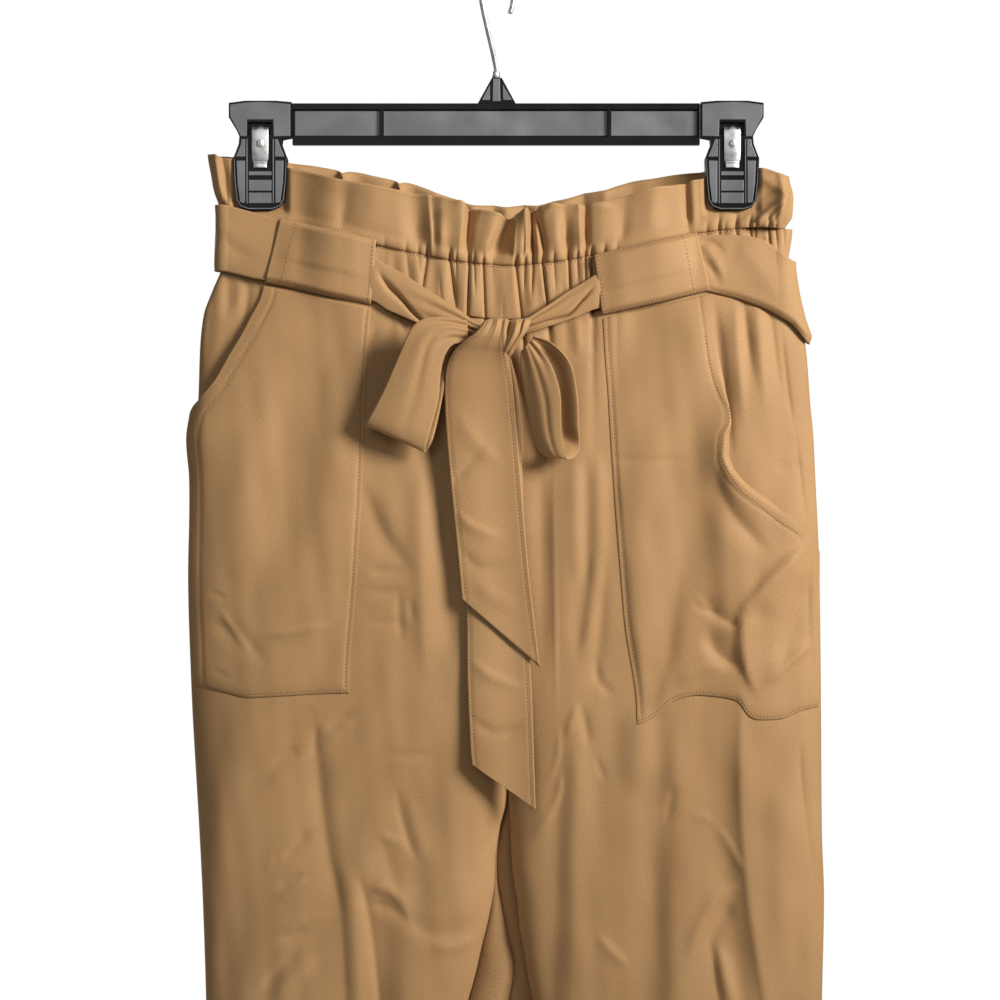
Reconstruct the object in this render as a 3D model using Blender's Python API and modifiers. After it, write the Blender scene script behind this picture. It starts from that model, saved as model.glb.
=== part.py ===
"""Paperbag waist trousers with a tied fabric belt, hanging from a clip hanger.

Z is up, the front faces -Y and +X is the wearer's left. The origin is the inside top of the
hanger's hook, where a rail carries it. Sizes are in millimetres and are scaled once, by MM.
"""
import bisect
import math
from collections import namedtuple

import bpy
import bmesh
from mathutils import Matrix, Vector

MM = 0.001

# Cloth and seams
CLOTH = 1.2
DOUBLE_CLOTH = 1.5
SEAM_GAP = 0.3
HALF_GAP = SEAM_GAP / 2
LIP = 0.65

# Heights down from the hook's bearing point
CROTCH_Z = -557.0
CROTCH_BLEND_Z = -455.0
CENTRE_X = 7.0
HEM_Z = -1212.0
CASING_HEIGHT = 36.0

# Belt: its width, how far it stands off the waist, and where it starts and ends round it
BELT_WIDTH = 44.0
BELT_LIFT = 5.0
BELT_STEPS = 60
BELT_START = math.radians(121)
BELT_END = math.radians(424)

# Hanger bar, recessed front and back between its ribs
BAR_TOP = -97.0
BAR_BOTTOM = -124.2
BAR_THICK = 8.0
BAR_WEB = 3.0
BAR_RIGHT = -135.6
BAR_LEFT = 134.4
BAR_RIBS = (-76.4, 74.4)
RIB_THICK = 1.8
BAR_END_WALL = 0.4
RECESS_TOP = -101.0
RECESS_BOTTOM = -119.2
HUB_THICK = 6.0

# Clips: jaws either side of the cloth, with a spring through a slot in them
CLIP_X = (-156.8, 155.8)
CLIP_BOTTOM = -168.0
CLIP_HOLD = 0.95
JAW_FACE = 1.95
JAW_THICK = 3.8
SLOT_HALF_WIDTH = 7.8
SLOT_TOP = -109.6
SLOT_BOTTOM = -118.4
SPRING_WIDTH = 11.0
SPRING_THICK = 0.9
SPRING_FOOT = -139.8

# Hook
HOOK_RADIUS = 22.0
HOOK_WIRE = 3.2
HOOK_TURN = math.radians(60)
HOOK_START = math.radians(197)
HOOK_END = math.radians(-38)
HOOK_STEPS = 18

# How many gathers and ruffle waves each face has
CASING_GATHERS = {"front": 32, "back": 24}
RUFFLE_WAVES = {"front": 24, "back": 18}

# Rows and columns of the grids that the pieces on the front are made over
POCKET_LEVELS = 15
POCKET_COLUMNS = 9
CARRIER_LEVELS = 4
CARRIER_COLUMNS = 8

# Knot: its middle and its half sizes
KNOT_CENTRE = (2.4, -36.0, -252.4)
KNOT_HALF = (17.0, 5.2, 9.8)


class Table:
    """Rows of numbers under named columns, read smoothly along the first column."""

    def __init__(self, columns, rows):
        names = columns.split()
        ordered = sorted(rows)
        self.keys = [row[0] for row in ordered]
        self.columns = {name: [row[k] for row in ordered] for k, name in enumerate(names)}

    def slope(self, values, k):
        if k in (0, len(values) - 1):
            return 0.0
        before = (values[k] - values[k - 1]) / (self.keys[k] - self.keys[k - 1])
        after = (values[k + 1] - values[k]) / (self.keys[k + 1] - self.keys[k])
        if before * after <= 0:
            return 0.0
        return 2 * before * after / (before + after)

    def at(self, name, where):
        values = self.columns[name]
        if where <= self.keys[0]:
            return values[0]
        if where >= self.keys[-1]:
            return values[-1]
        k = bisect.bisect_right(self.keys, where) - 1
        span = self.keys[k + 1] - self.keys[k]
        t = (where - self.keys[k]) / span
        rise = values[k + 1] - values[k]
        start = self.slope(values, k) * span
        end = self.slope(values, k + 1) * span
        curve = (3 * rise - 2 * start - end) * t * t + (start + end - 2 * rise) * t ** 3
        return values[k] + start * t + curve


# Side outlines of the whole garment, by height
OUTLINE = Table("z right left", [
    (-130, -190.5, 193.0),
    (-150, -188.5, 195.0),
    (-163, -185.5, 195.0),
    (-181, -187.6, 195.6),
    (-210, -188.4, 196.5),
    (-238, -195.0, 199.5),
    (-258, -196.6, 205.0),
    (-295, -198.0, 207.4),
    (-319, -205.0, 209.6),
    (-340, -203.0, 210.6),
    (-409, -204.6, 213.6),
    (-482, -202.5, 214.5),
    (-578, -197.2, 215.2),
    (-624, -194.9, 216.6),
    (-691, -192.7, 215.3),
    (-950, -188.5, 211.5),
    (-1212, -185.0, 208.0)])

# Inner edges of the legs below the crotch. The back of each leg is wider than its front and shows
# past it, until the two backs meet
INSEAM = Table("z right left back_right back_left", [
    (-557, 7.0, 7.0, 7.0, 7.2),
    (-578, 2.2, 8.4, 2.3, 2.5),
    (-602, -0.8, 9.6, 0.4, 0.6),
    (-612, -1.0, 10.8, 0.6, 0.8),
    (-625, -2.8, 12.9, 2.6, 2.8),
    (-642, -6.3, 14.5, 5.5, 5.7),
    (-655, -9.6, 16.8, 8.5, 8.7),
    (-667, -12.2, 18.8, 11.3, 11.5),
    (-682, -16.0, 21.4, 10.1, 10.3),
    (-691, -18.6, 23.2, 8.1, 8.3),
    (-760, -27.0, 30.0, -2.0, 7.0),
    (-860, -33.0, 35.0, -20.0, 24.0),
    (-950, -36.0, 38.0, -31.0, 34.0),
    (-1212, -41.0, 44.0, -41.0, 44.0)])

# Half depth of the hanging tube at its middle, by height
DEPTH = Table("z front back", [
    (-130, 10.0, 9.0),
    (-165, 10.0, 9.5),
    (-200, 11.0, 11.0),
    (-242, 13.0, 13.0),
    (-300, 17.0, 17.0),
    (-360, 21.0, 21.0),
    (-430, 23.0, 25.0),
    (-500, 23.0, 27.0),
    (-557, 21.0, 24.0),
    (-700, 19.0, 21.0),
    (-900, 21.0, 23.0),
    (-1212, 24.0, 24.0)])

# Top edge of the ruffle and the stitch line under it, across the garment
WAIST = Table("x ruffle_front ruffle_back stitch", [
    (-192, -130.5, -130.5, -160.8),
    (-175, -133.5, -131.5, -164.0),
    (-138, -139.4, -135.5, -173.4),
    (-112, -146.1, -138.5, -182.0),
    (-78, -153.5, -144.0, -191.6),
    (-47, -158.0, -151.5, -198.2),
    (-16, -166.5, -162.0, -203.2),
    (8, -171.5, -163.5, -204.8),
    (25, -166.0, -162.5, -203.8),
    (64, -164.0, -154.0, -198.2),
    (100, -155.0, -145.5, -190.0),
    (136, -146.7, -141.4, -182.4),
    (175, -139.4, -139.4, -179.2),
    (195, -145.4, -145.4, -180.4)])

# How deep the gathers and ruffle waves are, across the garment: full in the middle
FULLNESS = Table("x ruffle casing", [
    (-190, 0.5, 0.7),
    (-140, 0.2, 0.5),
    (-95, 0.4, 0.6),
    (-55, 1.1, 1.1),
    (5, 1.0, 1.0),
    (60, 1.1, 1.1),
    (85, 0.5, 0.7),
    (136, 0.3, 0.6),
    (175, 0.6, 1.0),
    (195, 0.6, 1.0)])

# Middle line of the belt round each face, across the garment
BELT_LINE = Table("x front back", [
    (-192, -186.0, -186.0),
    (-154, -194.5, -193.5),
    (-81, -209.5, -210.5),
    (5, -217.0, -225.0),
    (67, -213.5, -219.0),
    (131, -204.5, -206.0),
    (172, -209.0, -210.0),
    (192, -219.5, -220.5),
    (203, -228.0, -228.0)])

Fold = namedtuple("Fold", "x_top z_top x_bottom z_bottom width height")

# The largest folds: the line that each follows, its half width and its height out of the cloth
FRONT_FOLDS = [
    Fold(-128, -485, -100, -700, 12, 6.0),
    Fold(-100, -640, -104, -1260, 14, 7.0),
    Fold(-150, -560, -148, -1260, 16, -5.0),
    Fold(-60, -600, -62, -1260, 15, 4.5),
    Fold(38, -330, 39, -575, 11, 4.0),
    Fold(41, -560, 62, -1260, 15, 5.0),
    Fold(76, -520, 88, -1260, 14, -4.5),
    Fold(104, -520, 122, -1260, 15, 6.0),
    Fold(162, -495, 176, -760, 11, -7.0),
    Fold(172, -700, 166, -1260, 14, -6.0),
    Fold(190, -520, 192, -1260, 12, 4.0)]
BACK_FOLDS = [
    Fold(-150, -300, -142, -760, 17, 5.0),
    Fold(-90, -330, -98, -1260, 17, -5.0),
    Fold(-150, -700, -140, -1260, 16, 6.0),
    Fold(-45, -600, -62, -1260, 15, 5.0),
    Fold(-40, -270, -34, -520, 15, 4.0),
    Fold(52, -270, 50, -540, 15, 4.0),
    Fold(60, -600, 72, -1260, 15, 5.5),
    Fold(112, -320, 120, -1260, 17, -5.0),
    Fold(165, -380, 168, -1260, 17, 6.0)]
FOLDS = {"front": FRONT_FOLDS, "back": BACK_FOLDS}

PANEL_TOP = -241.0
PANEL_SAG = 170.0
PANEL_GAP = SEAM_GAP + 0.2
PANEL_LEVELS = [PANEL_TOP, -262, -286, -312, -340, -370, -402, -432, -460, -484, -506, -526, -543, -557,
                -573, -600, -632, -667, -700, -750, -815, -890, -970, -1050, -1130, HEM_Z]
PANEL_COLUMNS = {"front": 13, "back": 10}

# Each panel is made in three lengths, so that none of them bends round the whole hollow of a leg
PANEL_LENGTHS = {
    "hip": (PANEL_TOP, -432),
    "thigh": (-432, -815),
    "shin": (-815, HEM_Z)}
LENGTH_GAP = 0.4

# Pocket edges by height: the mouth or the side seam, and the edge sewn to the front
POCKET_RIGHT = Table("z outer inner", [
    (-217.5, -154.0, -82.0),
    (-243.0, -163.0, -84.0),
    (-263.0, -174.0, -85.5),
    (-282.0, -185.0, -86.5),
    (-305.0, -200.0, -87.0),
    (-320.0, -203.0, -87.5),
    (-345.0, -201.4, -88.5),
    (-410.0, -202.6, -92.0),
    (-486.0, -200.4, -97.0)])
POCKET_LEFT = Table("z outer inner", [
    (-223.6, 140.8, 69.0),
    (-250.0, 147.4, 70.5),
    (-270.0, 150.5, 71.5),
    (-309.0, 154.0, 74.5),
    (-335.0, 154.5, 76.0),
    (-348.0, 164.7, 77.0),
    (-362.0, 182.6, 78.0),
    (-376.0, 202.0, 79.0),
    (-392.0, 210.0, 80.0),
    (-440.0, 211.6, 84.0),
    (-500.0, 211.8, 92.0)])

# How far each pocket's hem rises above a straight line, from its sewn edge to the side
HEM_RIGHT = Table("share rise", [
    (0.0, 0.0),
    (0.42, -3.5),
    (0.66, -5.7),
    (0.78, -3.5),
    (1.0, 0.0)])
HEM_LEFT = Table("share rise", [
    (0.0, 0.0),
    (0.10, 4.0),
    (0.20, 13.0),
    (0.31, 15.6),
    (0.44, 13.4),
    (0.55, 9.3),
    (0.61, -1.0),
    (0.66, -4.0),
    (0.79, -5.0),
    (0.93, -0.5),
    (1.0, 0.0)])

Pocket = namedtuple("Pocket", "edges hem top_outer top_inner bottom_outer bottom_inner mouth_z gape")
POCKETS = {
    "pocket_right": Pocket(POCKET_RIGHT, HEM_RIGHT, -218.4, -233.4, -482.5, -487.0, -290, 8.5),
    "pocket_left": Pocket(POCKET_LEFT, HEM_LEFT, -224.2, -240.0, -497.0, -507.0, -335, 11.0)}
POCKET_FOLDS = {
    "pocket_right": [],
    "pocket_left": [
        Fold(156, -350, 158, -420, 12, 5.0),
        Fold(205, -380, 160, -470, 12, 6.0),
        Fold(160, -400, 152, -470, 10, -4.0),
        Fold(115, -470, 118, -560, 11, 3.0),
        Fold(196, -440, 180, -520, 11, 4.0)]}

# Carriers sewn over the belt: their four corners, across and up
Carrier = namedtuple("Carrier", "top_outer top_inner bottom_outer bottom_inner")
CARRIERS = {
    "carrier_right": Carrier((-143, -171.6), (-79.4, -187.6), (-153, -216.4), (-83, -231.4)),
    "carrier_left": Carrier((132.0, -182.0), (64.0, -198.6), (140.4, -222.0), (69.0, -238.0))}

# The two strips of belt from the carriers to the knot, by distance across
STRAND_RIGHT = Table("x top bottom out", [
    (-91.0, -192.0, -230.0, 4.6),
    (-82.0, -198.0, -230.0, 4.8),
    (-66.0, -208.0, -240.0, 5.0),
    (-46.0, -221.0, -246.0, 6.0),
    (-28.0, -233.0, -250.0, 6.8),
    (-12.0, -243.0, -254.0, 6.4)])
STRAND_LEFT = Table("x top bottom out", [
    (72.0, -210.0, -240.0, 4.6),
    (56.0, -221.0, -248.0, 5.2),
    (40.0, -232.0, -251.0, 6.0),
    (26.0, -240.0, -253.0, 6.8),
    (15.0, -244.0, -255.0, 6.4)])

# Sections of each bow loop, from the knot round its end and back: one edge, then the other
Section = namedtuple("Section", "ax ay az bx by bz")
BOW_LOOPS = {
    "bow_loop_right": [
        Section(-19.5, -34.0, -243.0, -18.8, -33.0, -257.5),
        Section(-37.8, -38.0, -240.7, -28.5, -37.0, -258.5),
        Section(-53.5, -40.0, -245.5, -34.0, -39.0, -266.0),
        Section(-63.7, -40.0, -265.6, -36.8, -39.0, -278.0),
        Section(-73.7, -38.5, -288.2, -38.4, -38.0, -295.0),
        Section(-83.6, -36.0, -306.5, -44.5, -36.5, -318.5),
        Section(-86.6, -31.5, -310.5, -47.0, -32.0, -328.5),
        Section(-82.5, -27.5, -307.0, -41.6, -28.0, -319.5),
        Section(-68.5, -25.5, -284.0, -35.6, -25.5, -292.5),
        Section(-55.5, -25.5, -262.0, -32.4, -25.5, -268.5),
        Section(-36.0, -26.5, -249.0, -27.0, -27.0, -259.5),
        Section(-20.5, -28.5, -245.5, -19.4, -28.5, -256.0)],
    "bow_loop_left": [
        Section(16.0, -34.0, -262.6, 22.6, -37.0, -255.8),
        Section(15.6, -36.0, -269.5, 30.0, -41.0, -264.3),
        Section(16.2, -36.0, -278.5, 35.9, -44.0, -273.6),
        Section(19.4, -36.0, -297.0, 41.2, -45.0, -291.2),
        Section(24.0, -34.5, -320.0, 42.0, -42.5, -315.7),
        Section(31.0, -32.0, -330.5, 46.0, -37.0, -332.9),
        Section(36.5, -29.5, -327.0, 53.5, -31.5, -327.7),
        Section(32.5, -28.5, -311.0, 53.5, -28.0, -312.4),
        Section(28.6, -28.0, -292.0, 52.5, -27.0, -290.8),
        Section(24.0, -28.0, -275.0, 48.0, -27.0, -270.5),
        Section(21.5, -28.5, -265.0, 36.0, -28.0, -257.5),
        Section(22.0, -30.5, -259.0, 24.0, -30.5, -252.5)]}

# The tails' two edges from the knot down to the slanted tip, and how far forward they hang
Tail = namedtuple("Tail", "right_x right_z left_x left_z y")
TAILS = {
    "bow_tail_front": [
        Tail(-15.0, -264.0, 7.0, -264.0, -30.0),
        Tail(-29.5, -276.0, 9.0, -277.0, -30.6),
        Tail(-33.4, -295.0, 11.5, -297.0, -31.2),
        Tail(-32.5, -320.0, 14.0, -321.0, -31.6),
        Tail(-30.2, -347.0, 16.2, -349.0, -31.4),
        Tail(-27.9, -373.0, 18.3, -379.0, -31.0),
        Tail(-25.4, -398.0, 21.6, -414.0, -31.0),
        Tail(-22.9, -425.0, 28.2, -469.5, -31.4)],
    "bow_tail_back": [
        Tail(-11.0, -264.0, 8.0, -264.0, -27.4),
        Tail(-22.0, -290.0, 14.0, -290.0, -28.4),
        Tail(-24.5, -330.0, 16.0, -330.0, -28.8),
        Tail(-23.0, -380.0, 18.0, -384.0, -28.4),
        Tail(-20.0, -433.0, 20.4, -440.0, -28.0),
        Tail(-19.4, -476.0, 23.0, -490.0, -28.2),
        Tail(-17.6, -519.0, 24.6, -540.0, -28.6),
        Tail(-16.3, -533.0, 25.4, -562.5, -28.8)]}


def smooth_step(t):
    t = min(1.0, max(0.0, t))
    return t * t * (3 - 2 * t)


def mix(a, b, t):
    return a + (b - a) * t


def outline(z):
    return OUTLINE.at("right", z), OUTLINE.at("left", z)


def leg_share(z):
    """0 where the section is one tube, 1 where it is two legs."""
    return smooth_step((CROTCH_BLEND_Z - z) / (CROTCH_BLEND_Z - CROTCH_Z))


def clip_hold(x, z):
    """1 where a clip presses both layers together, 0 where they hang free."""
    near = max(1 - smooth_step((abs(x - clip) - 22.5) / 30) for clip in CLIP_X)
    above = 1 - smooth_step((CLIP_BOTTOM - 2 - z) / 85)
    side = 1 - smooth_step((abs(x - CENTRE_X / 2) - 181) / 8)
    return near * above * side


def rounded(t):
    """Section of a flattened tube: 0 at both edges, 1 over its middle."""
    return math.sqrt(max(0.0, 1 - abs(t) ** 4))


def fold_height(folds, x, z):
    total = 0.0
    for fold in folds:
        along = (fold.z_top - z) / (fold.z_top - fold.z_bottom)
        if 0 < along < 1:
            centre = mix(fold.x_top, fold.x_bottom, along)
            window = smooth_step(along / 0.25) * smooth_step((1 - along) / 0.25)
            total += fold.height * window * math.exp(-((x - centre) / fold.width) ** 2)
    return total


def depth(x, z, face):
    """How far a face's middle surface stands from the plane between front and back."""
    right, left = outline(z)
    middle = (right + left) / 2
    body = rounded((x - middle) / (left - middle))
    share = leg_share(z)
    if x < CENTRE_X:
        outer, inner = right, INSEAM.at("right", max(HEM_Z, z))
    else:
        outer, inner = left, INSEAM.at("left", max(HEM_Z, z))
    leg = rounded((2 * x - outer - inner) / (inner - outer))
    section = mix(body, leg, share)
    hold = clip_hold(x, z)
    open_depth = section * (DEPTH.at(face, z) + fold_height(FOLDS[face], x, z))
    return HALF_GAP + mix(open_depth, CLIP_HOLD - HALF_GAP, hold)


def face_sign(face):
    return -1 if face == "front" else 1


def lifted(x, z, lift, face="front"):
    """A point of a face's middle surface, moved out along the surface's normal."""
    step = 0.4
    sign = face_sign(face)
    y = depth(x, z, face)
    across = (depth(x + step, z, face) - depth(x - step, z, face)) / (2 * step)
    up = (depth(x, z + step, face) - depth(x, z - step, face)) / (2 * step)
    normal = Vector((-across, sign, -up)).normalized()
    return Vector((x, sign * y, z)) + normal * lift


def seam_top(x):
    """Height of the seam between the casing and the panels."""
    return WAIST.at("stitch", x) - CASING_HEIGHT


def new_material(name, colour, roughness, metallic=0.0):
    material = bpy.data.materials.new(name)
    material.use_nodes = True
    shader = material.node_tree.nodes["Principled BSDF"]
    shader.inputs["Base Color"].default_value = (*colour, 1)
    shader.inputs["Roughness"].default_value = roughness
    shader.inputs["Metallic"].default_value = metallic
    material.diffuse_color = (*colour, 1)
    return material


def add_object(name, mesh, material, collection):
    obj = bpy.data.objects.new(name, mesh)
    mesh.materials.clear()
    mesh.materials.append(material)
    collection.objects.link(obj)
    return obj


def cloth_sheet(name, rows, thickness, material, collection):
    """A cloth wall over a grid of points: rows of points in millimetres."""
    width = len(rows[0])
    points = [Vector(point) * MM for row in rows for point in row]
    faces = []
    for r in range(len(rows) - 1):
        for c in range(width - 1):
            a = r * width + c
            faces.append((a, a + 1, a + width + 1, a + width))
    mesh = bpy.data.meshes.new(name)
    mesh.from_pydata(points, [], faces)
    mesh.shade_smooth()
    obj = add_object(name, mesh, material, collection)
    wall = obj.modifiers.new("wall", "SOLIDIFY")
    wall.thickness = thickness * MM
    wall.offset = 0
    return obj


# Panels

# How a panel's last columns turn in to its inner edge: across from the edge where the panel
# is flat, across and back from it where it has turned into a leg, and their share of the shelf
Turn = namedtuple("Turn", "flat_across turned_across turned_back shelf_share")
PLAIN_TURNS = [Turn(LIP, 0.0, LIP, 0.0)]
SHELF_TURNS = [Turn(2.2, 0.8, 6.0, 0.7), Turn(1.4, 0.0, 3.0, 1.0), Turn(LIP, 0.0, 0.9, 0.6)]


def panel_height(x, level):
    """Height of a panel's row at x: the top rows follow the casing, the lower ones are level."""
    sag = 1 - smooth_step((PANEL_TOP - level) / PANEL_SAG)
    return level + sag * (seam_top(x) - PANEL_GAP - PANEL_TOP)


def panel_row(side, face, level):
    sign = face_sign(face)
    inward = 1 if side == "right" else -1
    shelf = INSEAM.at("back_" + side, level) - INSEAM.at(side, level) if face == "back" else 0.0
    share = leg_share(level)
    outer_z = panel_height(OUTLINE.at(side, level), level)
    outer = OUTLINE.at(side, outer_z)
    side_gap = HALF_GAP + CLOTH / 2 * min(1.0, 2.4 * share)
    inner = INSEAM.at(side, level) - inward * side_gap
    row = [(outer, sign * HALF_GAP, outer_z), (outer, sign * (HALF_GAP + LIP), outer_z)]
    columns = PANEL_COLUMNS[face]
    for k in range(1, columns + 1):
        x = mix(outer, inner, (1 - math.cos(math.pi * k / (columns + 1))) / 2)
        z = panel_height(x, level)
        row.append((x, sign * depth(x, z, face), z))
    z = panel_height(inner, level)
    edge = depth(inner, z, face) if share < 1 else HALF_GAP
    edge += CLOTH / 2 * min(1.0, abs(shelf) / 4)
    for turn in SHELF_TURNS if face == "back" else PLAIN_TURNS:
        x = inner - inward * mix(turn.flat_across, turn.turned_across, share)
        back = mix(depth(x, z, face) - edge, turn.turned_back, share)
        row.append((x + shelf * turn.shelf_share, sign * (edge + back), z))
    row.append((inner, sign * edge, z))
    return row


def panel_rows(side, face, length):
    """Points of one length of a leg panel, from the side seam to the centre seam or inseam."""
    top, bottom = PANEL_LENGTHS[length]
    levels = [level for level in PANEL_LEVELS if bottom <= level <= top]
    if top < PANEL_TOP:
        levels[0] -= LENGTH_GAP
    return [panel_row(side, face, level) for level in levels]


# Waist

def gather_columns(face, count, start, end):
    """Column places from one side to the other, four to a gather, unevenly spaced.

    Gives (x, wave) pairs, where wave is 1 on a gather's crest and -1 in its trough.
    """
    columns = []
    total = count * 4
    shift = 0.0 if face == "front" else 1.7
    for k in range(total + 1):
        t = k / total
        uneven = 0.010 * math.sin(9.4 * t + shift) + 0.006 * math.sin(23.0 * t + 2 * shift)
        window = smooth_step(t / 0.1) * smooth_step((1 - t) / 0.1)
        x = mix(start, end, t + uneven * window)
        strength = 0.72 + 0.28 * math.sin(1.9 * (k // 4) + shift)
        columns.append((x, math.cos(k * math.pi / 2) * strength))
    return columns


def strip_rows(face, columns, lines):
    """Rows round one face between the side edges.

    Each line gives height(x), the push out for a column, and where its side edges lie.
    """
    sign = face_sign(face)
    rows = []
    for height, push, side_right, side_left in lines:
        row = [(side_right, sign * HALF_GAP, height(side_right)),
               (side_right, sign * (HALF_GAP + LIP), height(side_right))]
        for x, wave in columns:
            z = height(x)
            row.append((x, sign * (depth(x, z, face) + push(x, wave)), z))
        row.append((side_left, sign * (HALF_GAP + LIP), height(side_left)))
        row.append((side_left, sign * HALF_GAP, height(side_left)))
        rows.append(row)
    return rows


def side_fade(x, right, left):
    return smooth_step((x - right) / 14) * smooth_step((left - x) / 14)


# Lines round the casing, as a share of its height: how high its gathers are and how far it puffs
CasingLine = namedtuple("CasingLine", "share wave puff")
CASING_LINES = [CasingLine(0.0, 0.9, 0.0), CasingLine(0.5, 1.5, 1.4), CasingLine(1.0, 0.9, 0.0)]

# Lines round the ruffle, from its top edge down to the stitches, with the ends of each line
RuffleLine = namedtuple("RuffleLine", "share wave lean right left")
RUFFLE_LINES = [
    RuffleLine(1.0, 3.2, 1.0, -191.5, 193.5),
    RuffleLine(0.62, 2.9, 1.6, -189.5, 195.5),
    RuffleLine(0.25, 2.0, 1.8, -187.5, 196.0),
    RuffleLine(0.0, 0.7, 0.0, -184.6, 193.5)]

# Where the first and last gathers of the casing and the ruffle are
CASING_ENDS = (-183.0, 191.0)
RUFFLE_ENDS = (-180.0, 187.0)


def casing_rows(face):
    def line(share, wave_height, puff):
        drop = share * CASING_HEIGHT

        def height(x):
            return WAIST.at("stitch", x) - drop
        right = OUTLINE.at("right", WAIST.at("stitch", -188) - drop)
        left = OUTLINE.at("left", WAIST.at("stitch", 195) - drop)

        def push(x, wave):
            free = side_fade(x, right, left) * (1 - clip_hold(x, height(x)))
            return (wave_height * wave * FULLNESS.at("casing", x) + puff) * free
        return height, push, right, left

    columns = gather_columns(face, CASING_GATHERS[face], *CASING_ENDS)
    return strip_rows(face, columns, [line(*row) for row in CASING_LINES])


def ruffle_rows(face):
    top_name = "ruffle_" + face

    def line(share, wave_height, lean, right, left):
        def height(x):
            stitch = WAIST.at("stitch", x) + SEAM_GAP
            return mix(stitch, WAIST.at(top_name, x), share)

        def push(x, wave):
            hold = max(1 - smooth_step((abs(x - clip) - 22.5) / 16) for clip in CLIP_X)
            full = wave_height * wave * FULLNESS.at("ruffle", x)
            return (full + lean) * side_fade(x, right, left) * (1 - hold)
        return height, push, right, left

    columns = gather_columns(face, RUFFLE_WAVES[face], *RUFFLE_ENDS)
    return strip_rows(face, columns, [line(*row) for row in RUFFLE_LINES])


# Pieces that lie on the front

def pocket_rows(name):
    """A patch pocket: sewn down all round but for its slanted mouth, which stands off."""
    pocket = POCKETS[name]
    outward = 1 if name == "pocket_left" else -1
    rows = []
    for r in range(POCKET_LEVELS + 1):
        v = r / POCKET_LEVELS
        z_outer = mix(pocket.top_outer, pocket.bottom_outer, v)
        z_inner = mix(pocket.top_inner, pocket.bottom_inner, v)
        x_outer = pocket.edges.at("outer", z_outer)
        x_inner = pocket.edges.at("inner", z_inner)
        mouth = math.exp(-((z_outer - pocket.mouth_z) / 60) ** 2) * smooth_step(v / 0.12)
        row = []
        for c in range(POCKET_COLUMNS + 1):
            u = (1 - math.cos(math.pi * c / POCKET_COLUMNS)) / 2
            x = mix(x_inner, x_outer, u)
            z = mix(z_inner, z_outer, u)
            z += pocket.hem.at("rise", u) * smooth_step((v - 0.7) / 0.3)
            sewn = smooth_step(u / 0.3) * smooth_step((1 - v) / 0.18)
            clear_of_edges = smooth_step(u / 0.2) * smooth_step((1 - u) / 0.12)
            stand = pocket.gape * mouth * sewn
            stand += fold_height(POCKET_FOLDS[name], x, z) * clear_of_edges
            side = 1 - smooth_step(abs(x - outward * 204) / 14)
            lift = CLOTH + SEAM_GAP + 0.2 + max(0.0, stand) * (1 - 0.6 * side)
            lift += 0.5 * smooth_step((1 - v) / 0.1) * sewn
            row.append(lifted(x, z, lift))
        rows.append(row)
    return rows


def carrier_rows(name):
    """A carrier: a flat piece that lies over the belt, a double cloth away from it."""
    carrier = CARRIERS[name]
    lift = BELT_LIFT + DOUBLE_CLOTH / 2 + CLOTH / 2 + 2 * SEAM_GAP
    rows = []
    for r in range(CARRIER_LEVELS + 1):
        v = r / CARRIER_LEVELS
        row = []
        for c in range(CARRIER_COLUMNS + 1):
            u = c / CARRIER_COLUMNS
            x = mix(mix(carrier.top_outer[0], carrier.top_inner[0], u),
                    mix(carrier.bottom_outer[0], carrier.bottom_inner[0], u), v)
            z = mix(mix(carrier.top_outer[1], carrier.top_inner[1], u),
                    mix(carrier.bottom_outer[1], carrier.bottom_inner[1], u), v)
            row.append(lifted(x, z, lift))
        rows.append(row)
    return rows


# Belt

def ring_point(angle, z):
    """A point round the waist's middle surface, from the left side over the front, seen from above."""
    right, left = outline(z)
    face = "front" if math.sin(angle) > 0 else "back"
    x = mix(right, left, (1 + math.cos(angle)) / 2)
    return Vector((x, face_sign(face) * (depth(x, z, face) - HALF_GAP), z))


def belt_rows():
    """The belt from one carrier round the back to the other."""
    rows = []
    for k in range(BELT_STEPS + 1):
        angle = mix(BELT_START, BELT_END, k / BELT_STEPS)
        face = "front" if math.sin(angle) > 0 else "back"
        x_line = ring_point(angle, -210).x
        hang = smooth_step((x_line - 150) / 45)
        row = []
        for offset in (-1.0, -0.35, 0.35, 1.0):
            z = BELT_LINE.at(face, x_line + 4 * hang) + offset * BELT_WIDTH / 2
            here = ring_point(angle, z)
            tangent = ring_point(angle + 0.02, z) - ring_point(angle - 0.02, z)
            normal = Vector((-tangent.y, tangent.x, 0)).normalized()
            row.append(here + normal * (BELT_LIFT + 1.5 * hang * (1 - offset) / 2))
        rows.append(row)
    return rows


def strand_rows(table, places):
    """A belt end from its carrier to the knot, with a soft valley along it."""
    rows = []
    for x in places:
        top = table.at("top", x)
        bottom = table.at("bottom", x)
        loose = smooth_step((abs(places[0] - x) - 8) / 20)
        row = []
        for v, valley in ((0, 0.0), (0.22, 1.0), (0.45, -0.6), (0.7, 1.0), (1, 0.0)):
            row.append(lifted(x, mix(top, bottom, v), table.at("out", x) + valley * loose))
        rows.append(row)
    return rows


def loop_rows(name):
    """A bow loop: a band between its two edges, bowed out along its middle."""
    sections = BOW_LOOPS[name]
    rows = []
    for k, section in enumerate(sections):
        a = Vector(section[:3])
        b = Vector(section[3:])
        crown = 1.6 if k < len(sections) / 2 else -1.2
        row = [a.lerp(b, t) - Vector((0, crown * math.sin(math.pi * t), 0)) for t in (0, 0.3, 0.7, 1)]
        rows.append(row)
    return rows


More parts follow.
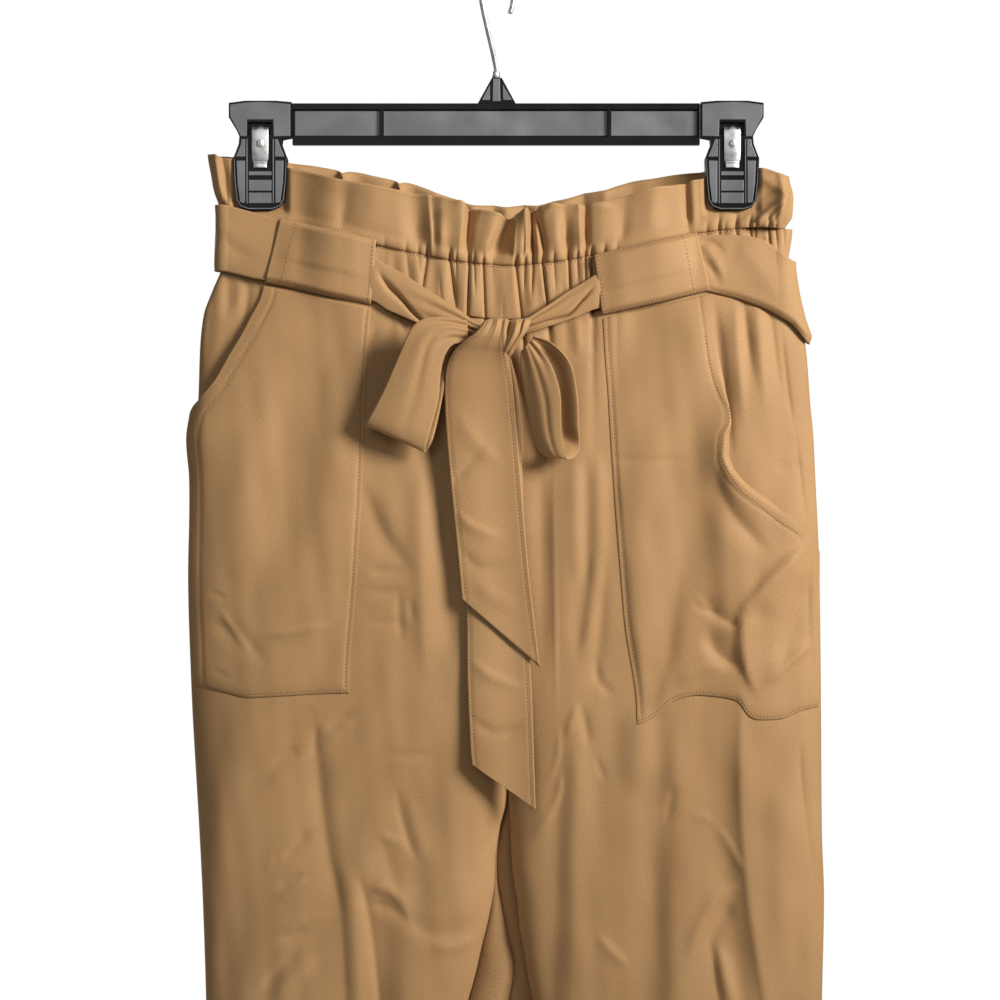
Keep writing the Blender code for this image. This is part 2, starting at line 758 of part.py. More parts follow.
def tail_rows(name):
    rows = []
    for section in TAILS[name]:
        right = Vector((section.right_x, section.y, section.right_z))
        left = Vector((section.left_x, section.y, section.left_z))
        row = []
        for t, ripple in ((0, 0.0), (0.25, 0.5), (0.5, -0.2), (0.75, 0.5), (1, 0.0)):
            row.append(right.lerp(left, t) - Vector((0, ripple, 0)))
        rows.append(row)
    return rows


def make_knot(material, collection):
    """The knot: a rounded lump of folded belt."""
    mesh = bpy.data.meshes.new("bow_knot")
    form = bmesh.new()
    bmesh.ops.create_uvsphere(form, u_segments=16, v_segments=10, radius=1)
    for vertex in form.verts:
        pinch = 1 + 0.10 * math.cos(3 * vertex.co.x)
        shape = (vertex.co.x, vertex.co.y * pinch, vertex.co.z * pinch)
        vertex.co = Vector([at + half * out for at, half, out in zip(KNOT_CENTRE, KNOT_HALF, shape)]) * MM
    form.to_mesh(mesh)
    form.free()
    mesh.shade_smooth()
    return add_object("bow_knot", mesh, material, collection)


# Hanger

def make_box(name, low, high, material, collection):
    mesh = bpy.data.meshes.new(name)
    form = bmesh.new()
    bmesh.ops.create_cube(form, size=1)
    size = [(b - a) * MM for a, b in zip(low, high)]
    centre = [(a + b) / 2 * MM for a, b in zip(low, high)]
    form.transform(Matrix.Translation(centre) @ Matrix.Diagonal((*size, 1)))
    form.to_mesh(mesh)
    form.free()
    return add_object(name, mesh, material, collection)


def make_cutter(name, low, high, material, collection):
    cutter = make_box(name, low, high, material, collection)
    cutter.hide_render = True
    cutter.display_type = "WIRE"
    return cutter


def cut(obj, cutter):
    modifier = obj.modifiers.new("cut_" + cutter.name, "BOOLEAN")
    modifier.operation = "DIFFERENCE"
    modifier.solver = "EXACT"
    modifier.object = cutter


def make_plate(name, outline_points, thickness, axes, location, material, collection):
    """A flat outline made thick. Axes say which way its across, up and thick directions point."""
    data = bpy.data.curves.new(name, "CURVE")
    data.dimensions = "2D"
    data.fill_mode = "BOTH"
    data.extrude = thickness * MM / 2
    spline = data.splines.new("POLY")
    spline.points.add(len(outline_points) - 1)
    for point, (across, up) in zip(spline.points, outline_points):
        point.co = (across * MM, up * MM, 0, 1)
    spline.use_cyclic_u = True
    data.materials.append(material)
    curve = bpy.data.objects.new(name + "_outline", data)
    bpy.context.scene.collection.objects.link(curve)
    across, up, thick = (Vector(axis) for axis in axes)
    turn = Matrix((across, up, thick)).transposed().to_4x4()
    curve.matrix_world = Matrix.Translation(Vector(location) * MM) @ turn
    bpy.context.view_layer.update()
    evaluated = curve.evaluated_get(bpy.context.evaluated_depsgraph_get())
    mesh = bpy.data.meshes.new_from_object(evaluated)
    mesh.transform(curve.matrix_world)
    form = bmesh.new()
    form.from_mesh(mesh)
    bmesh.ops.remove_doubles(form, verts=form.verts, dist=0.00002)
    bmesh.ops.recalc_face_normals(form, faces=form.faces)
    form.to_mesh(mesh)
    form.free()
    bpy.data.objects.remove(curve)
    mesh.name = name
    return add_object(name, mesh, material, collection)


FACING_FRONT = ((1, 0, 0), (0, 0, 1), (0, -1, 0))
FACING_SIDE = ((0, 1, 0), (0, 0, 1), (1, 0, 0))

# The two sides of a clip plate's outline: distance from its middle, and height. The inner side
# comes down beside the end of the bar, and both end in the paddle that presses on the cloth
CLIP_PADDLE = [
    (14.2, -124.0), (16.4, -130.0), (17.9, -133.6), (17.4, -148.0), (16.0, -161.5),
    (13.0, -166.0), (8.0, CLIP_BOTTOM)]
CLIP_OUTER = [(10.0, -95.5), (20.8, -96.9), (20.8, -106.5), (15.8, -114.8), (13.8, -119.0)] + CLIP_PADDLE
CLIP_INNER = [(10.0, -95.5), (20.8, -96.4), (20.8, -119.4), (14.6, -120.6)] + CLIP_PADDLE

# Half of a spring's outline, seen from the side: distance from the middle, and height
SPRING_FACE = JAW_FACE + JAW_THICK + SEAM_GAP
SPRING_OUTLINE = [
    (SPRING_FACE - 1.2, -113.4), (SPRING_FACE + SPRING_THICK, -115.6), (SPRING_FACE + SPRING_THICK, SPRING_FOOT),
    (SPRING_FACE, SPRING_FOOT), (SPRING_FACE, -116.4), (SPRING_FACE - 1.6, -114.3)]

# The hub on the bar, across and up
HUB_OUTLINE = [(-12.6, -96.6), (12.2, -96.6), (3.2, -80.0), (-3.4, -80.0)]

# The hook's stem up from the hub, by how far it leans out and its height
HOOK_STEM = [(0.0, -79.6), (-1.0, -74.0), (-4.6, -65.4), (-11.2, -52.0), (-17.2, -39.5), (-20.0, -32.5)]


def joined_outline(positive, negative):
    """A whole outline from its two sides, neither of which has a point on the middle line."""
    return positive + [(-across, up) for across, up in reversed(negative)]


def make_hanger(plastic, steel, collection, cutters):
    bar = make_box("hanger_bar", (BAR_RIGHT, -BAR_THICK / 2, BAR_BOTTOM),
                   (BAR_LEFT, BAR_THICK / 2, BAR_TOP), plastic, collection)
    walls = [BAR_RIGHT + BAR_END_WALL]
    for rib in BAR_RIBS:
        walls += [rib - RIB_THICK / 2, rib + RIB_THICK / 2]
    walls.append(BAR_LEFT - BAR_END_WALL)
    for side in (-1, 1):
        for k in range(3):
            depths = sorted((side * BAR_WEB / 2, side * (BAR_THICK / 2 + 2)))
            cutter = make_cutter(f"recess_{k}_{'front' if side < 0 else 'back'}",
                                 (walls[2 * k], depths[0], RECESS_BOTTOM),
                                 (walls[2 * k + 1], depths[1], RECESS_TOP), plastic, cutters)
            cut(bar, cutter)
    make_plate("hanger_hub", HUB_OUTLINE, HUB_THICK, FACING_FRONT, (0, 0, 0), plastic, collection)
    for name, clip in zip(("right", "left"), CLIP_X):
        make_clip(name, clip, plastic, steel, collection, cutters)
    make_hook(steel, collection)


def make_clip(name, clip, plastic, steel, collection, cutters):
    slot = make_cutter("slot_" + name, (clip - SLOT_HALF_WIDTH, -20, SLOT_BOTTOM),
                       (clip + SLOT_HALF_WIDTH, 20, SLOT_TOP), plastic, cutters)
    sides = (CLIP_INNER, CLIP_OUTER) if name == "right" else (CLIP_OUTER, CLIP_INNER)
    for face in ("front", "back"):
        y = face_sign(face) * (JAW_FACE + JAW_THICK / 2)
        plate = make_plate(f"clip_{face}_{name}", joined_outline(*sides), JAW_THICK, FACING_FRONT,
                           (clip, y, 0), plastic, collection)
        cut(plate, slot)
    make_plate("clip_spring_" + name, joined_outline(SPRING_OUTLINE, SPRING_OUTLINE), SPRING_WIDTH,
               FACING_SIDE, (clip, 0, 0), steel, collection)


def make_hook(steel, collection):
    """The wire hook, swivelled on the hub, with the top of its inside at the origin."""
    centre_z = HOOK_WIRE / 2 - HOOK_RADIUS
    path = list(HOOK_STEM)
    for k in range(HOOK_STEPS + 1):
        angle = mix(HOOK_START, HOOK_END, k / HOOK_STEPS)
        path.append((HOOK_RADIUS * math.cos(angle), centre_z + HOOK_RADIUS * math.sin(angle)))
    data = bpy.data.curves.new("hanger_hook", "CURVE")
    data.dimensions = "3D"
    data.bevel_depth = HOOK_WIRE / 2 * MM
    data.bevel_resolution = 2
    data.use_fill_caps = True
    spline = data.splines.new("POLY")
    spline.points.add(len(path) - 1)
    for point, (reach, z) in zip(spline.points, path):
        point.co = (reach * math.cos(HOOK_TURN) * MM, reach * math.sin(HOOK_TURN) * MM, z * MM, 1)
    data.materials.append(steel)
    hook = bpy.data.objects.new("hanger_hook", data)
    collection.objects.link(hook)


def build():
    for obj in list(bpy.data.objects):
        bpy.data.objects.remove(obj)
    garment = bpy.data.collections.new("paperbag_waist_trousers")
    cutters = bpy.data.collections.new("cutters")
    bpy.context.scene.collection.children.link(garment)
    bpy.context.scene.collection.children.link(cutters)
    crepe = new_material("camel_crepe", (0.42, 0.24, 0.12), 0.75)
    plastic = new_material("hanger_plastic", (0.035, 0.034, 0.034), 0.38)
    steel = new_material("hanger_steel", (0.62, 0.62, 0.6), 0.25, 1.0)

    for side in ("right", "left"):
        for face in ("front", "back"):
            for length in PANEL_LENGTHS:
                cloth_sheet(f"{face}_{side}_{length}", panel_rows(side, face, length), CLOTH, crepe, garment)
    for face in ("front", "back"):
        cloth_sheet(f"casing_{face}", casing_rows(face), CLOTH, crepe, garment)
        cloth_sheet(f"ruffle_{face}", ruffle_rows(face), CLOTH, crepe, garment)
    for name in POCKETS:
        cloth_sheet(name, pocket_rows(name), CLOTH, crepe, garment)
    for name in CARRIERS:
        cloth_sheet(name, carrier_rows(name), CLOTH, crepe, garment)
    cloth_sheet("belt", belt_rows(), DOUBLE_CLOTH, crepe, garment)
    cloth_sheet("belt_strand_right", strand_rows(STRAND_RIGHT, (-90, -78, -66, -54, -42, -32, -22, -12)),
                DOUBLE_CLOTH, crepe, garment)
    cloth_sheet("belt_strand_left", strand_rows(STRAND_LEFT, (72, 62, 52, 42, 32, 23, 15)),
                DOUBLE_CLOTH, crepe, garment)
    for name in BOW_LOOPS:
        cloth_sheet(name, loop_rows(name), CLOTH, crepe, garment)
    for name in TAILS:
        cloth_sheet(name, tail_rows(name), CLOTH, crepe, garment)
    make_knot(crepe, garment)
    make_hanger(plastic, steel, garment, cutters)


build()
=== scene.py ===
"""Looks of the paperbag waist trousers on a clip hanger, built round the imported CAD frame.

Places are in millimetres in the garment's own frame and are scaled once, by MM. Z is up, the
front faces -Y and +X is the wearer's left. The origin is the inside top of the hook.
"""

import math
from collections import namedtuple

import bpy
import numpy as np
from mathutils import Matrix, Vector


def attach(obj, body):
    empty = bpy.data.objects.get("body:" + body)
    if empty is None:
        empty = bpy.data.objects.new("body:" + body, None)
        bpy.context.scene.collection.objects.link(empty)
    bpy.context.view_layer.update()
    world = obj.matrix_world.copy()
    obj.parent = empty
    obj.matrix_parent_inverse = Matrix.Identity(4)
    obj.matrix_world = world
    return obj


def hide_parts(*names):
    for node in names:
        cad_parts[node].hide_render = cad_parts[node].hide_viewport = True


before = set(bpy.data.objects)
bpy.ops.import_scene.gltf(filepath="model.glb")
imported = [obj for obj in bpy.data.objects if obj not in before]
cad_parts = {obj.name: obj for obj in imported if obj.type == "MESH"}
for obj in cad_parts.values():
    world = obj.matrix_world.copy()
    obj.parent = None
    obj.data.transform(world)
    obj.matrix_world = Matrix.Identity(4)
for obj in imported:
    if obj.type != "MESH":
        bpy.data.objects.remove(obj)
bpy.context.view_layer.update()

MM = 0.001

# Thickness of the solids' cloth and of the drawn cloth, half the gap of a seam, and the width of
# the lip beside it
CLOTH = 1.2
SHELL = 0.9
BELT_SHELL = 1.2
BOW_SHELL = 1.0
KNOT_SHELL = 0.8
HALF_GAP = 0.15
LIP = 0.65

# Heights in the garment's frame. The photo's lower edge cuts the legs at PHOTO_BOTTOM
CROTCH_BLEND_Z = -455.0
CROTCH_Z = -557.0
PHOTO_BOTTOM = -705.0
HEM_Z = -1212.0
PANEL_TOP = -241.0

CENTRE_X = 7.0
CASING_HEIGHT = 36.0
PANEL_SAG = 170.0
PANEL_GAP = 0.5
PANEL_LENGTHS = ("hip", "thigh", "shin")

# The belt round the back: its ends in degrees from the left side over the front, the height at
# which those are measured, and how far it stands off
BELT_START = 121.0
BELT_END = 424.0
BELT_LEVEL = -210.0
BELT_LIFT = 5.0

# Stitches. WIDE_PITCH is the pitch of the coarser lines
STITCH_LENGTH = 1.3
STITCH_LIFT = 0.02
THREAD_RADIUS = 0.36
WIDE_PITCH = 2.6

# How far the stitched lines are from the edges
HEM_DEPTH = 26.0
INNER_SEAM = 2.6
BOTTOM_SEAM = 2.4
MOUTH_HEM = 7.2
TAIL_SEAM = 2.8

POCKET_LENGTH = 265.0

# Clips: their middles, their lower edge, and how far each layer is from the middle between the
# jaws. Then the bar's ribs, and half of a rib's width
CLIP_X = (-156.8, 155.8)
CLIP_BOTTOM = -168.0
CLIP_HOLD = 0.95
BAR_RIBS = (-76.4, 74.4)
RIB = 1.2

# The floor, then in metres the camera's distance and the photo's width and middle
FLOOR_Z = -1262.0
FLOOR_REACH = 2500.0
CAMERA_DISTANCE = 2.0
PHOTO_WIDTH = 0.664
PHOTO_MIDDLE = (0.002, -0.3599)
SENSOR_WIDTH = 36.0
# Lights: place and aim in metres, size, power, colour and spread in degrees
WARM = (1.0, 0.985, 0.96)
COOL = (0.97, 0.985, 1.0)
LIGHTS = [
    ("key", (1.75, -1.30, 0.42), (-0.04, 0.0, -0.20), 0.9, 9.9, WARM, 60),
    ("fill", (-0.4, -1.9, 0.5), (0.0, 0.0, -0.30), 0.9, 1.7, COOL, 110),
    ("behind", (-1.1, 2.1, 0.5), (0.0, 0.0, -0.55), 1.0, 9.0, WARM, 90)]

# How a panel's inner edge turns in, by place: how far in and back it goes where the garment is one
# tube and where it is a leg, and its share of the leg's wider back
Turn = namedtuple("Turn", "flat_across turned_across turned_back shelf_share")
SHELF_TURNS = [
    Turn(2.6, 1.2, 8.4, 0.35), Turn(2.2, 0.8, 6.0, 0.7), Turn(1.8, 0.4, 4.4, 0.9),
    Turn(1.4, 0.0, 2.6, 1.0), Turn(LIP, 0.0, 0.8, 0.7)]
PLAIN_TURNS = [Turn(LIP, 0.0, LIP, 0.0)]


def numbers(text):
    """Rows of numbers, one row to a line."""
    return [[float(word) for word in line.split()] for line in text.strip().splitlines()]


def named(kind, text):
    """Rows of numbers under a named tuple's names."""
    return [kind(*row) for row in numbers(text)]


class Table:
    """Rows of numbers under named columns, read smoothly along the first column."""

    def __init__(self, columns, text):
        ordered = np.array(sorted(numbers(text)))
        self.keys = ordered[:, 0]
        self.columns = dict(zip(columns.split(), ordered.T))

    def at(self, name, where):
        where = np.clip(where, self.keys[0], self.keys[-1])
        values = self.columns[name]
        spans = np.diff(self.keys)
        slopes = np.diff(values) / spans
        turning = np.zeros(len(values))
        product = slopes[:-1] * slopes[1:]
        total = slopes[:-1] + slopes[1:]
        steady = product > 0
        turning[1:-1][steady] = 2 * product[steady] / total[steady]
        k = np.clip(np.searchsorted(self.keys, where, side="right") - 1, 0, len(spans) - 1)
        span = spans[k]
        t = (where - self.keys[k]) / span
        rise = values[k + 1] - values[k]
        start = turning[k] * span
        end = turning[k + 1] * span
        curve = (3 * rise - 2 * start - end) * t * t + (start + end - 2 * rise) * t ** 3
        return values[k] + start * t + curve


# Side outlines of the whole garment, by height
OUTLINE = Table("z right left", """
-130 -190.5 193
-150 -188.5 195
-163 -182.6 195
-181 -181.4 195.6
-205 -182.4 192.6
-220 -188 194
-238 -194.4 198
-258 -196.6 204.4
-295 -198 207.4
-319 -205 209.6
-340 -203 210.6
-409 -204.6 213.6
-482 -202.5 214.5
-578 -197.2 215.2
-624 -194.9 216.6
-691 -192.7 215.3
-950 -188.5 211.5
-1212 -185 208""")

# Inner edges of the legs below the crotch. The back of each leg is wider than its front and shows
# past it, until the two backs meet
INSEAM = Table("z right left back_right back_left", """
-557 7 7 7 7.2
-578 2.2 8.4 2.3 2.5
-602 -0.8 9.6 0.4 0.6
-612 -1 10.8 0.6 0.8
-625 -2.8 12.9 2.6 2.8
-642 -6.3 14.5 5.5 5.7
-655 -9.6 16.8 8.5 8.7
-667 -12.2 18.8 11.3 11.5
-682 -16 21.4 10.1 10.3
-691 -18.6 23.2 8.1 8.3
-760 -27 30 -2 7
-860 -33 35 -20 24
-950 -36 38 -31 34
-1212 -41 44 -41 44""")

# Half depth of the hanging tube at its middle, by height
DEPTH = Table("z front back", """
-130 10 9
-165 10 9.5
-200 11 11
-242 13 13
-300 17 17
-360 21 21
-430 23 25
-500 23 27
-557 21 24
-700 19 21
-900 21 23
-1212 24 24""")

# Top edge of the ruffle and the stitch line under it, across the garment
WAIST = Table("x ruffle_front ruffle_back stitch", """
-192 -130.5 -130.5 -163.6
-175 -133.5 -131.5 -168.4
-138 -139.4 -135.5 -177.4
-112 -146.1 -138.5 -183.6
-78 -153.5 -144 -191.6
-47 -158 -151.5 -198.2
-16 -166.5 -162 -203.2
8 -171.5 -163.5 -204.8
25 -166 -162.5 -203.8
64 -164 -154 -198.2
100 -155 -145.5 -190
136 -146.7 -141.4 -182.4
175 -139.4 -139.4 -179.2
195 -145.4 -145.4 -180.4""")

# Side edges of the ruffle, from the stitch line up to its top edge
RUFFLE_SIDES = Table("share right left", """
0 -184.6 191
0.25 -187.5 195.8
0.6 -189.6 196.6
1 -191.8 193.5""")

# Middle line and half width of the belt round each face, across the garment
BELT_LINE = Table("x front back half_front half_back", """
-192 -185.4 -185.4 22 22
-158 -192.2 -193 21.4 22
-143 -195.4 -196.4 20.2 22
-81 -209.4 -210.5 19.8 22
5 -217 -225 19 22
67 -217.6 -219 17.8 22
128 -202.6 -206 17.8 22
150 -204.6 -206.6 20.2 22
172 -209.3 -210 22.6 22.4
186 -216 -217.6 23.4 24
191 -219.6 -220.6 24.2 24.6
198 -230 -230 27.4 27.4""")

# A crease: the three points that it curves through, across and up, its half width, its height out
# of the cloth, how much steeper its left or upper side is, and how sharp its line is
Crease = namedtuple("Crease", "xa za xb zb xc zc width height lean sharp")

# A pleat of the ruffle: its place across at the stitches, half width, height out of the cloth, how
# much steeper its left side is, how far its top moves sideways, how far it folds over, how sharp
# its line is, and how much of it there is at the stitches and at the top edge
Pleat = namedtuple("Pleat", "x width height lean fan over sharp low high")
RUFFLE_PLEATS = {
    "front": named(Pleat, """
-183 3 2.2 0.3 -4 0 0.6 1 1
-178 2.4 -2.8 0 -4 0 0.5 1 0.8
-172 3 1.8 0.2 0 0 0.5 1.2 0.2
-118 12 1.2 0 2 0 0 1 1
-104 5 -1.4 0 6 0 0.2 1.3 0.3
-88 11 1.6 0.2 4 0 0 0.8 1
-76 16 2.4 0 2 0 0 0.8 1
-52 9 -3.6 0 -2 0 0 1.3 0.7
-43 3.4 2.8 0.4 -3 0.8 0.6 1.2 0.5
-37 4 2.4 0 0 0 0.2 1.6 0.3
-27 10 5.6 0.6 4 1.8 0.8 0.7 1
-20 3.4 -7 0 1 0 0.4 0.4 1.2
-11.5 6 5.2 0.4 13 1 0.3 0.8 1
-2 7 -8.4 0 9 0 0.2 0.9 1
10.3 1.6 1.8 -0.3 1.5 0 0.8 1 1
17.3 5.6 5.2 0.6 0.6 1.4 0.4 1 1
16.8 1.8 -3.4 0 0 0 0.2 1.4 -0.4
24.4 2.8 -8 0 -1.5 0 0.5 0.9 1
28.2 2.8 2.8 0 -4 0 0.3 1.3 0.5
32.4 2.4 -5.4 0 -7 0 0.6 1.2 0.7
40 9 3.4 0 -2 0 0.1 0.9 1
46.4 4 -5 0 -2 0 0.2 1.4 0.2
54.4 4.2 3.4 0.6 -1 1 0.8 1.2 0.5
59.4 2.8 -4.4 0 -1 0 0.5 1.2 0.7
68 9 1.8 0 1 0 0.1 1 1
82 5 -1.6 0 3 0 0.2 1.3 0.4
99 10 1.9 0.2 4 0 0.2 0.8 1.1
113 8 -1 0 2 0 0 1 1
127 3 -3.4 0 -2 0 0.5 1 0.8
131 3.4 2.2 0 -2 0 0.3 1 0.8
147 2.4 -1.6 0 1 0 0.5 1.3 -0.8
158 2.4 -1.4 0 3 0 0.5 1.3 -0.8
186 3.6 2 0 5 0 0.4 1.2 0.4"""),
    "back": named(Pleat, """
-180 4 1.5 0 0 0 0.2 1 1
-122 12 1.6 0.2 0 0 0.2 1 1
-103 2 -4.6 0 0 0 0.8 0.8 1.3
-92 8 2.6 0 0 0 0.2 1 1
-65 2 -4.6 0 0 0 0.8 0.8 1.3
-56 8 2.8 0.2 0 0 0.2 1 1
-40 5 -2 0 0 0 0.2 1 1
-28 6 2.2 0 3 0 0.3 1 1
-14 5 -2.4 0 -2 0 0.3 1.3 0.7
-4 5 2.6 0 2 0 0.3 1.2 0.8
6 4 -2.2 0 0 0 0.3 1.3 0.7
16 5 2.8 0.3 2 0 0.4 1 1
27 4 -2.4 0 0 0 0.3 1.3 0.7
40 5 2.2 0 -2 0 0.2 1 1
58 7 3 0.3 0 0 0.4 1 1
72 4 -2.2 0 0 0 0.3 1.3 0.7
90 9 2 0 0 0 0.1 1 1
118 10 1.4 0 0 0 0 1 1
180 4 1.5 0 0 0 0.2 1 1""")}

# Creases across the ruffle
RUFFLE_CREASES = {
    "front": named(Crease, """
152 -196 176 -172 210 -146 9 4.9 0.72 0.9
162 -194 179 -176 198 -156 5.4 2.9 0.65 0.9
177 -190 184 -176 193 -160 4.4 2.4 0.6 0.8
150 -180 168 -164 190 -148 6 -2.6 0 0.2
170 -150 180 -148 196 -143 4 2.6 -0.6 0.9
172 -146 184 -152 198 -163 5 2 -0.3 0.5
-186 -134 -184 -149 -181 -165 3.6 2 0.4 0.8
-180 -136 -178 -150 -174 -166 3.6 -2 0 0.5
-44 -172 -30 -168 -22 -160 5 2 0.4 0.6
24 -176 34 -168 40 -156 5 2.2 0.4 0.6
-20 -178 -14 -170 -12 -158 4 -2 0 0.3
50 -170 62 -166 80 -168 6 1.4 0.3 0.4
-120 -150 -98 -152 -78 -158 8 1 0.2 0.2
82 -160 104 -154 124 -154 8 1 0.2 0.2"""),
    "back": []}

# The smaller tucks in the casing and the top of the panels: place across, half width and depth,
# how far they run sideways on their way down, and how far down the casing they reach
Tuck = namedtuple("Tuck", "x width depth drift reach")
TUCKS = {
    "front": named(Tuck, """
-181 2 1.6 0 1
-173 1.8 1.3 0 1
-74 2.4 0.5 1 0.6
-66 2 0.6 3 -0.5
-60 1.8 0.8 4 0.5
-52 1.6 0.7 4 0.4
-46 1.3 3 -5 0.75
-39 1.5 0.6 3 -0.6
-31.3 1.2 3.6 5 0.8
-27 1.1 1.2 1 0.3
-18.4 1.1 3.6 -1.2 1
-15 1 1.4 1 0.5
-9.2 1.1 2.6 1.4 1
-3 1.6 0.5 0 0.3
4 1.6 0.4 0 -0.4
12.4 1.1 4 4 1
18.4 1.1 2.4 -1 0.4
23.8 1.2 2.8 -1.5 0.5
26.6 1.3 1 5 -0.3
30 1.2 3.8 4 1
37.6 1.4 1.2 2 0.5
42 1.8 0.7 3 -0.5
47.2 1.2 3 1.6 0.8
53 1.3 1.4 1 0.4
58.2 1.2 2.4 1 0.7
62.6 1.3 3.2 0.5 1
71 1.8 1.4 0 0.7
79 2 0.8 0 1
139 1.6 1 2 0.5
147 1.3 2 3 0.5
151 1.1 0.8 -1 0.3
158.5 1.3 2.4 4 0.6
168 1.1 3 4 0.6
171.5 1 2 -2 0.4
180 1.1 2.6 2 0.5
184.6 1 1.4 3 0.4
190 1.1 1.6 1 0.6"""),
    "back": []}
BACK_TUCK_COUNT = 46

# The ends of the gathers, and where they are closest together: their middle, their reach and how
# much closer they are
GATHER_ENDS = (-190.0, 193.0)
GATHER_CROWDS = [(15, 60, 2.2), (170, 26, 0.8), (-176, 12, 0.6)]

